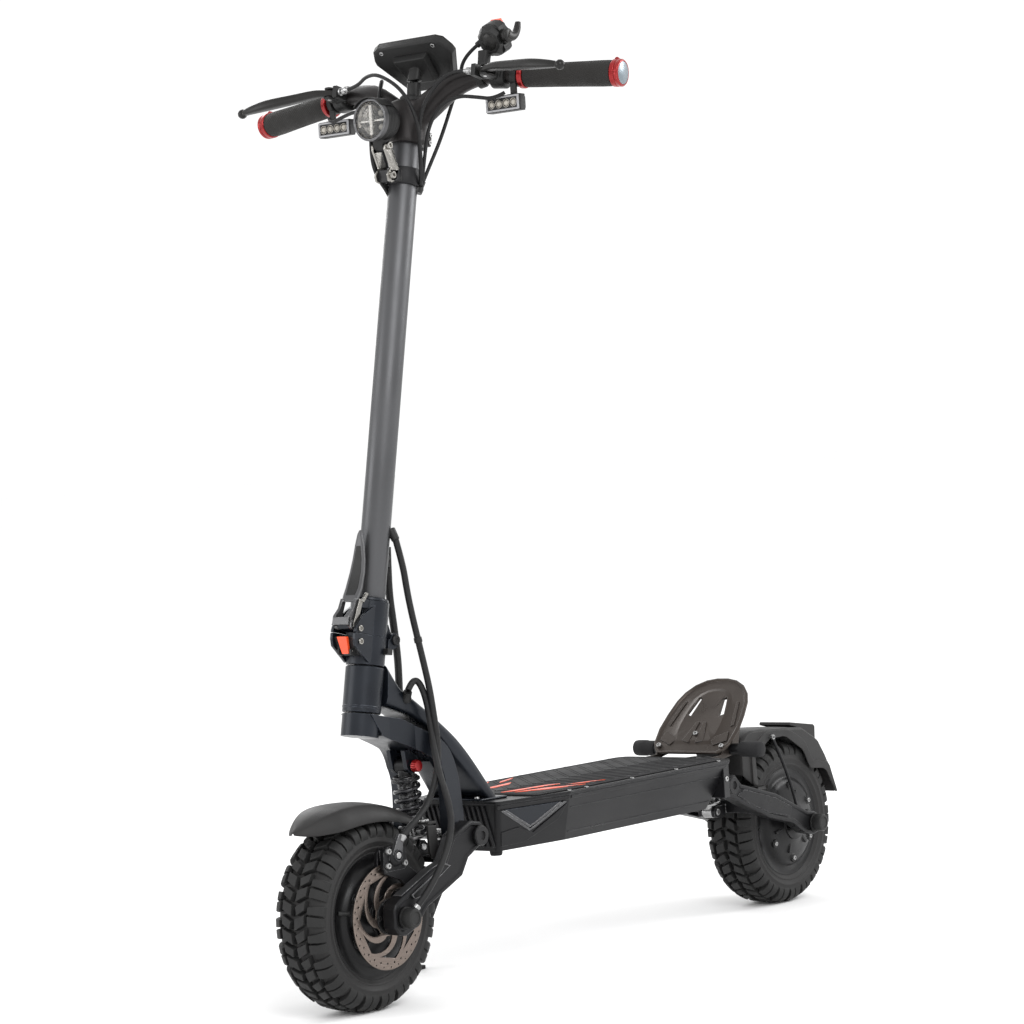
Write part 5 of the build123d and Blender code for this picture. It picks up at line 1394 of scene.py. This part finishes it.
def pods():
    """The throttle's housing with its hooked paddle on the left, and the switch housing on the right."""
    back, front = Vector((-34.5, 125, 1337.7)), Vector((-10.5, 125, 1319.7))
    turn = along(front, back)
    drum = lathe([(12, 0.6), (16, 0), (17, 0.4), (22.6, 6.6), (23.5, 8), (23.5, 27), (22.6, 29.4), (20, 30),
                  (4, 30)], 8)
    drum = placed(drum, turn @ Matrix.Rotation(math.radians(22.5), 4, "Z"))
    drum = (drum[0], drum[1])
    ring = placed(lathe([(20, 9), (23.2, 9.6), (23.2, 26.4), (20, 27)], 56, cap=False), turn)
    clip = [(x, min(y, 140.8), z) for x, y, z in drum[0]]
    ring_clip = [(x, min(y, 140.8), z) for x, y, z in ring[0]]
    foot = swept([(-21, 110, 1286), (-21, 110, 1298), (-21, 110, 1312)], [(9, 8), (8, 8), (9, 8)],
                 flat=(1, 0, 0))
    strap = placed(lathe([(13.2, 0), (15.2, 0), (15.6, 1), (15.6, 9), (15.2, 10), (13.2, 10)], 40),
                   along(Vector(BAR_POINTS[2]) - Vector((-2, 9, 2.6)), BAR_POINTS[2]))
    gland = rod((-21.2, 104, 1328), (-20, 96, 1322), 4.5)
    shape = placed(join((clip, drum[1]), (ring_clip, ring[1]), foot, strap, gland), STEER)
    piece("throttle_drum", shape, "black_plastic", "stem", replaces=["bar_controls"], angle=35, bevel=0.6)
    face = placed(lathe([(1, -0.6), (11, -0.6), (12.6, 0.4), (12.6, 1.6)], 8), turn)
    piece("throttle_face", placed(face, STEER), "brake_black", "stem", bevel=0.4)
    top = [(-22, 1357), (-12, 1343.6), (-18, 1339), (-28, 1352.4)]
    cap = slab(top, 116, 134)
    piece("throttle_window", placed(cap, STEER), "orange_plastic", "stem", bevel=0.9)
    pod = plan(rounded_outline([(-58, -122), (-28, -122), (-28, -92), (-58, -92)], 6), 1256, 1292)
    wells = [rod((-50, -107, s), (-70, -107, s), 5.1) for s in (1266, 1284)]
    pod = piece("switch_pod", placed(pod, STEER), "black_plastic", "stem", replaces=["bar_controls"],
                bevel=1.2)
    cut(pod, placed(join(*wells), STEER))
    hub = placed(lathe([(1, 0), (9.4, 0), (10, 0.6), (10, 8), (9.2, 8.8), (1, 9)], 40),
                 along_y(-22, 141.2, 1330))
    paddle = swept([(-22, 146.6, 1331), (-31, 146.6, 1331), (-38, 146.6, 1336), (-41.6, 146.8, 1345),
                    (-42.4, 147, 1355)], [(5.2, 7), (5.2, 6), (5.2, 5), (5.2, 4.2), (4.2, 3)],
                   flat=(0.7, 0, 0.7))
    piece("throttle_hook", placed(join(hub, paddle), STEER), "brake_black", "throttle_paddle",
          replaces=["throttle_paddle"], angle=50)
    for name, s in (("mode", 1284), ("horn", 1266)):
        shape = placed(lathe([(0.5, 0), (4.9, 0), (4.9, 6.4), (4.3, 7.6), (2.6, 8), (0.5, 7.2)], 32),
                       along((-53.5, -107, s), (-61.5, -107, s)))
        piece(f"{name}_button_cap", placed(shape, STEER), "button_grey" if name == "mode"
              else "orange_plastic", f"{name}_button", replaces=[f"{name}_button"])


DISPLAY = Matrix.Translation((256, 0, 1279)) @ Matrix.Rotation(math.radians(-45), 4, "Y") \
    @ Matrix.Rotation(math.radians(90), 4, "Z")


def display():
    """The display: a hexagonal tapering housing, its bezel and glass, the box behind and the stalk."""
    half = [(50, -42), (61, -37), (68, -22), (69, -14), (41, 38), (36, 42)]
    outline = half + [(-x, y) for x, y in reversed(half)]

    def scaled(share, height):
        return [(x * share, y * share, height) for x, y in outline]

    rings = [scaled(0.93, -13), scaled(0.98, -11.5), scaled(1.0, -5), scaled(1.0, -1.6), scaled(0.985, 0),
             scaled(0.93, 0.2), scaled(0.915, -0.8)]
    piece("display_housing", placed(loft(rings), DISPLAY), "black_plastic", "stem", replaces=["display"],
          bevel=0.6, angle=25)
    lip = loft([scaled(1.004, -2.6), scaled(1.004, -0.9), scaled(0.992, -0.2)], cap=False)
    piece("display_lip", placed(lip, DISPLAY), "bar_grey", "stem")
    piece("display_glass", placed(loft([scaled(0.91, -1.0), scaled(0.91, 0.5), scaled(0.88, 1.1)]), DISPLAY),
          "screen", "stem")
    bars = []
    for row in range(5):
        bars.append(plan([(-30, -18 + 9 * row), (-30 + 11 * (row + 1), -18 + 9 * row),
                          (-30 + 11 * (row + 1), -14 + 9 * row), (-30, -14 + 9 * row)], 1.0, 1.3))
    piece("display_bars", placed(join(*bars), DISPLAY), "led_white", "stem")
    back = [(30, -24), (24, 22), (-24, 22), (-30, -24)]
    box = loft([[(x, y, -12.6) for x, y in back], [(x * 0.9, y * 0.9, -22.5) for x, y in back]])
    stalk = swept([(-12, 0, 1250), (-8, 0, 1262), (-6, 0, 1280), (-8, 0, 1300)],
                  [(11, 9), (10, 8), (10, 7), (10, 7)])
    base = lathe([(14, 1246), (14, 1253), (12, 1256), (4, 1256)], 48)
    shape = join(placed(box, DISPLAY), placed(base, STEER), placed(stalk, STEER))
    piece("display_back", shape, "black_plastic", "stem", bevel=1.6, replaces=["display"])
    screws = [placed(socket_bolt((x, y, -12), (0, 0, -1), 3.2, 2), DISPLAY) for x, y in
              ((-46, -33), (46, -33), (-34, 34), (34, 34))]
    piece("display_screws", join(*screws), "bearing_steel", "stem")


# Lamps

def along_x(x, y, z):
    """A matrix that puts Z along -X, so that a lathe runs back from a front face."""
    return along((x, y, z), (x - 1, y, z))


LAMP_FACE = along_x(377, 0, 1192)


def headlight():
    """The round lamp: finned shell, dark bezel, faceted reflector, lamp bar and clear cover."""
    shell = [(1, 18.8), (8.5, 18.6), (15.8, 16.2), (22, 11.4), (25.2, 6), (26.2, 3), (28.6, 3), (28.6, 12),
             (27.4, 13), (28.4, 15), (28.4, 18), (27.2, 19), (28, 21), (28, 24), (26.6, 25), (27, 30),
             (24, 37), (18, 43), (10, 45.6), (1, 46)]
    lug = slab([(345, 1172), (365, 1172), (362, 1156), (358, 1151), (354, 1149), (350, 1151), (346, 1156)],
               -8, 8)
    piece("headlight_shell", join(placed(lathe(shell, 64), LAMP_FACE), lug), "black_plastic",
          "headlight", bevel=0.5, replaces=["headlight_housing"])
    bezel = [(25.4, 0.6), (26.2, -0.2), (28.4, 0), (29, 1.0), (29, 7.6), (28, 8.6), (26, 8.6)]
    bowl = [(25.8, 1.5), (24.6, 5), (21, 10.5), (15, 15), (8, 17.4), (1, 17.6)]
    piece("headlight_bezel", placed(lathe(bezel, 72, cap=False), LAMP_FACE), "lever_grey",
          "headlight", replaces=["headlight_housing"])
    piece("headlight_reflector", placed(lathe(bowl, 20, cap=False), LAMP_FACE), "reflector",
          "headlight", angle=8)
    bar = join(block((361, -3.2, 1171), (374, 3.2, 1213)), block((366, -22, 1189), (371, 22, 1193)))
    piece("headlight_divider", bar, "chrome", "headlight", bevel=1.0)
    leds = [placed(lathe([(4.6, 0), (4.6, 1.6), (3.4, 3.4), (0.5, 4.2)], 24),
                   along((362, y, z), (363, y, z))) for y in (-10, 10) for z in (1182, 1201)]
    piece("headlight_leds", join(*leds), "led_white", "headlight")
    lens = [(25.6, 2.4), (25.0, 1.2), (21, -0.6), (14, -1.9), (7, -2.6), (0.4, -2.8)]
    inner = [(r * 0.96, h + 1.4) for r, h in reversed(lens)]
    piece("headlight_cover", placed(lathe(lens + inner, 64, cap=False), LAMP_FACE),
          "lamp_glass", "headlight", replaces=["headlight_lens"])
    visor_rings = []
    for x in (381, 372, 352):
        ring = []
        for radius in (29.4, 30.6):
            turns = [math.radians(38 + 104 * k / 12) for k in range(13)]
            turns = turns if radius < 30 else reversed(turns)
            ring += [(x, radius * math.cos(a), 1192 + radius * math.sin(a)) for a in turns]
        visor_rings.append(ring)
    piece("headlight_visor", loft(visor_rings), "black_plastic", "headlight")


def headlight_mount():
    """The chrome links, the band on the stem and the lamp's leads."""
    link = slab([(345, 1153), (347, 1158.6), (350.5, 1161), (357, 1161), (361.4, 1158), (362.6, 1152),
                 (352, 1128), (359.6, 1118), (357.6, 1109), (350, 1106.6), (341, 1111), (334, 1126)], 9, 12.4)
    band = lathe([(20.2, 1128), (22.4, 1128), (23, 1129), (23, 1151), (22.4, 1152), (20.2, 1152)], 64,
                 cap=False)
    neck_block = block((317, -12.4, 1109), (353, 12.4, 1125))
    piece("headlight_band", join(placed(band, STEER), neck_block), "black_steel", "stem", bevel=1.0,
          replaces=["headlight_bracket"])
    piece("headlight_links", both(link), "chrome", "stem", bevel=1.2, replaces=["headlight_bracket"])
    bolts = [socket_bolt((x, side * 12.4, z), (0, side, 0), 5.4, 3.6) for x, z in ((350, 1117), (354, 1157))
             for side in (-1, 1)]
    bolts.append(rod((354, -14, 1157), (354, 14, 1157), 3))
    piece("headlight_link_bolts", join(*bolts), "chrome", "stem")
    for name, shift in (("a", 0), ("b", 6)):
        route = [(357 - shift, -16 - shift / 2, 1166), (358 - shift, -16.5, 1139),
                 (345.5 - shift, -16.5, 1114), (330 - shift, -15, 1098), (324 - shift, -13, 1084)]
        cable(f"headlight_lead_{name}", route, 2.6, body="stem")


def side_lamp(side):
    """A small lamp under the bar: housing, grey tray, four lenses and a strap."""
    name = "left" if side > 0 else "right"
    y = 152 * side
    shell = plan(rounded_outline([(262, y - 29), (276, y - 29), (276, y + 29), (262, y + 29)], 3), 1191, 1213)
    fins = [block((259.5, y - 24 + 8 * i, 1194), (262.5, y - 21 + 8 * i, 1210)) for i in range(7)]
    strap = join(block((262, side * 163 - 5, 1211), (265.6, side * 163 + 5, 1240)),
                 block((260, side * 163 - 7, 1208), (272, side * 163 + 7, 1214)))
    band = placed(lathe([(12.6, 0), (14.6, 0), (15, 0.8), (15, 9.2), (14.6, 10), (12.6, 10)], 40),
                  along(Vector(BAR_POINTS[2]).lerp(Vector(BAR_POINTS[3]), 0.8), BAR_POINTS[3]))
    band = placed(band, STEER) if side > 0 else placed(band, FLIP, STEER)
    piece(f"{name}_lamp_housing", join(shell, strap, band, *fins), "black_plastic", "stem", bevel=0.8,
          replaces=["side_lamps"])
    rim = [(y - 28, 1192), (y + 28, 1192), (y + 28, 1212), (y - 28, 1212)]
    inner = [(y - 25.5, 1194.5), (y + 25.5, 1194.5), (y + 25.5, 1209.5), (y - 25.5, 1209.5)]
    tray = loft([[(275.5, *p) for p in rim], [(277.6, *p) for p in rim], [(278, *p) for p in inner],
                 [(273.6, (p[0] - y) * 0.97 + y, p[1]) for p in inner]])
    piece(f"{name}_lamp_tray", tray, "button_grey", "stem", bevel=0.5, replaces=["side_lamps"])
    lenses, cups = [], []
    for step in (-18.6, -6.2, 6.2, 18.6):
        cups.append(placed(lathe([(5.9, 0), (5.9, 3.4), (5.2, 3.6), (3.2, 0.6), (0.4, 0.4)], 24),
                           along((273.4, y + step, 1202), (274, y + step, 1202))))
        lenses.append(placed(lathe([(4.4, 0), (4.2, 1.6), (3, 3.4), (0.4, 4.2)], 24),
                             along((274, y + step, 1202), (275, y + step, 1202))))
    piece(f"{name}_lamp_cups", join(*cups), "reflector", "stem")
    piece(f"{name}_lamp_lenses", join(*lenses), "led_white", "stem")


# Cables: given routes

BRAKE_SLEEVE = [(399, 22, 622), (393, 27, 588), (391, 30, 552), (388, 34, 518), (383.3, 38, 484.8)]
BRAKE_LOWER = [(383.3, 38, 484.8), (378.13, 42.4, 448.28), (376.5, 48, 416), (376, 52, 382), (376, 56, 350),
               (382, 60, 318), (397, 63, 290), (416, 66, 268), (440, 68, 252), (462, 68, 240), (472, 67, 232)]
POWER_UPPER = [(391.5, 0, 612), (394, 1, 580), (393, 0, 546), (388.5, 0, 512), (386.5, 0, 495)]
POWER_LOWER = [(386.5, 0, 495), (384.5, 0, 478), (382.5, 0, 446), (383.9, 0, 414.6)]
MOTOR_UPPER = [(404, 33, 419), (398, 34.5, 429), (388, 36, 431), (381, 39, 419), (379.5, 41.5, 406.5)]
MOTOR_LOWER = [(379.5, 41.5, 406.5), (378, 44, 394), (380, 49, 366), (386, 58, 332), (391, 70, 300),
               (394, 84, 268), (400, 93, 236), (424, 98, 200), (462, 98, 158), (480, 92, 141)]
LOOMS = {"left_brake_loom": [(12, 106, 1276), (14.6, 85.2, 1277.73), (20, 62, 1262), (24, 42, 1226),
                             (16, 36, 1186), (2, 31, 1156), (-9, 24.5, 1130)],
         "throttle_loom": [(-20, 96, 1322), (-17, 76, 1307), (-30, 62, 1284), (-34, 46, 1244),
                           (-31, 35, 1200), (-22, 27, 1162), (-13, 22, 1130)],
         "left_lamp_loom": [(-12, 158, 1246), (-4, 146, 1236), (2, 122, 1240), (8, 92, 1244), (10, 62, 1232),
                            (8, 44, 1204), (0, 35, 1168), (-8, 27, 1136)], }
RIGHT_LOOMS = {"right_brake_loom": [(12, 106, 1276), (14.6, 85.2, 1277.73), (30, 58, 1284), (46, 20, 1278),
                                    (42, -22, 1252), (30, -42, 1212), (10, -36, 1172), (-6, -27, 1140)],
               "switch_loom": [(-40, 93, 1284), (-26, 76, 1294), (4, 52, 1284), (20, 40, 1244),
                               (18, 34, 1200), (6, 29, 1160), (-4, 24, 1130)],
               "right_lamp_loom": [(-12, 158, 1246), (-4, 146, 1236), (2, 122, 1240), (8, 92, 1244),
                                   (14, 62, 1236), (14, 42, 1204), (2, 34, 1168), (-6, 26, 1136)], }


def cables():
    """Every sleeve and loom; those that pass a joint are made into plain meshes."""
    fold_low, fold_high = (404, 0, 470), (390, 0, 560)
    cable("brake_sleeve_upper", BRAKE_SLEEVE, 4.5, replaces=["fold_cables"],
          across=("fork", "stem", fold_low, fold_high))
    cable("power_loom_upper", POWER_UPPER, 5.2, replaces=["fold_cables"],
          across=("fork", "stem", (404, 0, 490), fold_high))
    cable("power_loom_lower", POWER_LOWER, 5.2, across=("frame", "fork", (384, 0, 416), (386, 0, 492)))
    cable("motor_lead_upper", MOTOR_UPPER, 4.5, across=("frame", "fork", (404, 33, 420), (379.5, 41, 408)))
    cable("brake_sleeve_lower", BRAKE_LOWER, 4.5, replaces=["front_cables"],
          across=("fork", "front_arm", (376, 0, 350), (430, 0, 250)))
    cable("motor_lead_lower", MOTOR_LOWER, 4.5, replaces=["front_cables"],
          across=("fork", "front_arm", (380, 0, 350), (410, 0, 215)))
    for name, route in LOOMS.items():
        cable(name, route, 2.6, body="stem", replaces=["handlebar_cables"], place=STEER)
    for name, route in RIGHT_LOOMS.items():
        cable(name, route, 2.6, body="stem", replaces=["handlebar_cables"], place=FLIP @ STEER)
    ends = [rod((472, 67, 232), (477, 66.7, 225), 5.6, 4.2), rod((480, 92, 141), (484.5, 90.5, 137), 5.6, 5)]
    piece("front_cable_ferrules", join(*ends), "bearing_steel", "front_arm")
    cable("front_brake_inner", [(477, 66.7, 225), (478.5, 66.7, 217), (480, 66.7, 211)], 0.9,
          "bearing_steel", "front_arm", bevel_detail=2)


def stand():
    """The side stand with its rubber foot."""
    leg = swept([(228, -64, 170), (227, -64.5, 158), (225.6, -68, 142), (223, -92, 104), (220, -126, 44),
                 (218, -144, 12)], [(6, 6), (6, 6), (6, 6), (5.8, 5.8), (5.6, 5.6), (5.4, 5.4)], power=2,
                flat=(1, 0, 0))
    boss = rod((228, -72.4, 170), (228, -55.6, 170), 7)
    piece("stand_leg", join(leg, boss), "black_steel", "kickstand", replaces=["kickstand_leg"])
    foot = plan(rounded_outline([(200, -162), (236, -162), (236, -134), (200, -134)], 7), 0, 5)
    collar = swept([(219, -136, 26), (218.4, -142, 14), (218, -146, 4)], [(7, 7), (8, 8), (12, 11)], power=2,
                   flat=(1, 0, 0))
    piece("stand_foot", join(foot, collar), "mat_rubber", "kickstand", bevel=1.2, replaces=["kickstand_leg"])


# Stage, light and camera

def soft_light(name, place, target, size, power):
    """A square area light, aimed at a point."""
    data = bpy.data.lights.new(name, "AREA")
    data.size = size
    data.energy = power
    made = bpy.data.objects.new(name, data)
    made.location = place
    made.rotation_euler = (Vector(target) - Vector(place)).to_track_quat("-Z", "Y").to_euler()
    bpy.context.scene.collection.objects.link(made)


def studio():
    """A plain pale floor, soft white light and the view transform."""
    mesh = bpy.data.meshes.new("floor")
    far = 400
    mesh.from_pydata([(-far, -far, 0), (far, -far, 0), (far, far, 0), (-far, far, 0)], [], [(0, 1, 2, 3)])
    floor = bpy.data.objects.new("floor", mesh)
    bpy.context.scene.collection.objects.link(floor)
    pale = bpy.data.materials.new("pale_floor")
    pale.use_nodes = True
    shader = pale.node_tree.nodes["Principled BSDF"]
    shader.inputs["Base Color"].default_value = (0.93, 0.93, 0.93, 1)
    shader.inputs["Roughness"].default_value = 0.9
    shader.inputs["Specular IOR Level"].default_value = 0.0
    mesh.materials.append(pale)
    world = bpy.data.worlds.new("studio")
    world.use_nodes = True
    world.node_tree.nodes["Background"].inputs["Color"].default_value = (1, 1, 1, 1)
    world.node_tree.nodes["Background"].inputs["Strength"].default_value = 1.08
    bpy.context.scene.world = world
    soft_light("key", (2.6, 3.4, 3.2), (0, 0, 0.6), 2.4, 100)
    soft_light("rim", (-2.8, 2.2, 2.4), (0, 0, 0.6), 1.6, 64)
    soft_light("fill", (3.2, -2.4, 1.6), (0.2, 0, 0.5), 2.0, 34)
    soft_light("back", (-1.5, -3.2, 2.6), (0, 0, 0.6), 2.0, 38)
    bpy.context.scene.view_settings.view_transform = "Standard"


def camera():
    """The camera: beside the front wheel, a little below the deck's far end."""
    data = bpy.data.cameras.new("camera")
    data.lens = 109.68
    data.sensor_width = 36
    made = bpy.data.objects.new("camera", data)
    yaw, pitch, roll = 3.8073, -0.0154, -0.0578
    ahead = Vector((math.cos(pitch) * math.cos(yaw), math.cos(pitch) * math.sin(yaw), math.sin(pitch)))
    flat = Vector((math.sin(yaw), -math.cos(yaw), 0))
    upright = flat.cross(ahead)
    right = flat * math.cos(roll) + upright * math.sin(roll)
    up = upright * math.cos(roll) - flat * math.sin(roll)
    made.matrix_world = Matrix.Translation((3.6118, 2.7472, 0.7149)) @ Matrix((right, up,
                                                                               -ahead)).transposed().to_4x4()
    bpy.context.scene.collection.objects.link(made)
    bpy.context.scene.camera = made


dress_cad()
wheels()
front_mudguard()
rear_mudguard()
neck()
deck()
mat()
kick_plate()
front_arm()
rear_arm()
shock("front", (384, 314), (370, 202))
shock("rear", (-322, 238), (-336, 162))
fork_details()
latch()
stem()
smooth_bar()
for side in (1, -1):
    grip(side)
    brake_controls(side)
    side_lamp(side)
pods()
display()
headlight()
headlight_mount()
cables()
stand()
studio()
camera()
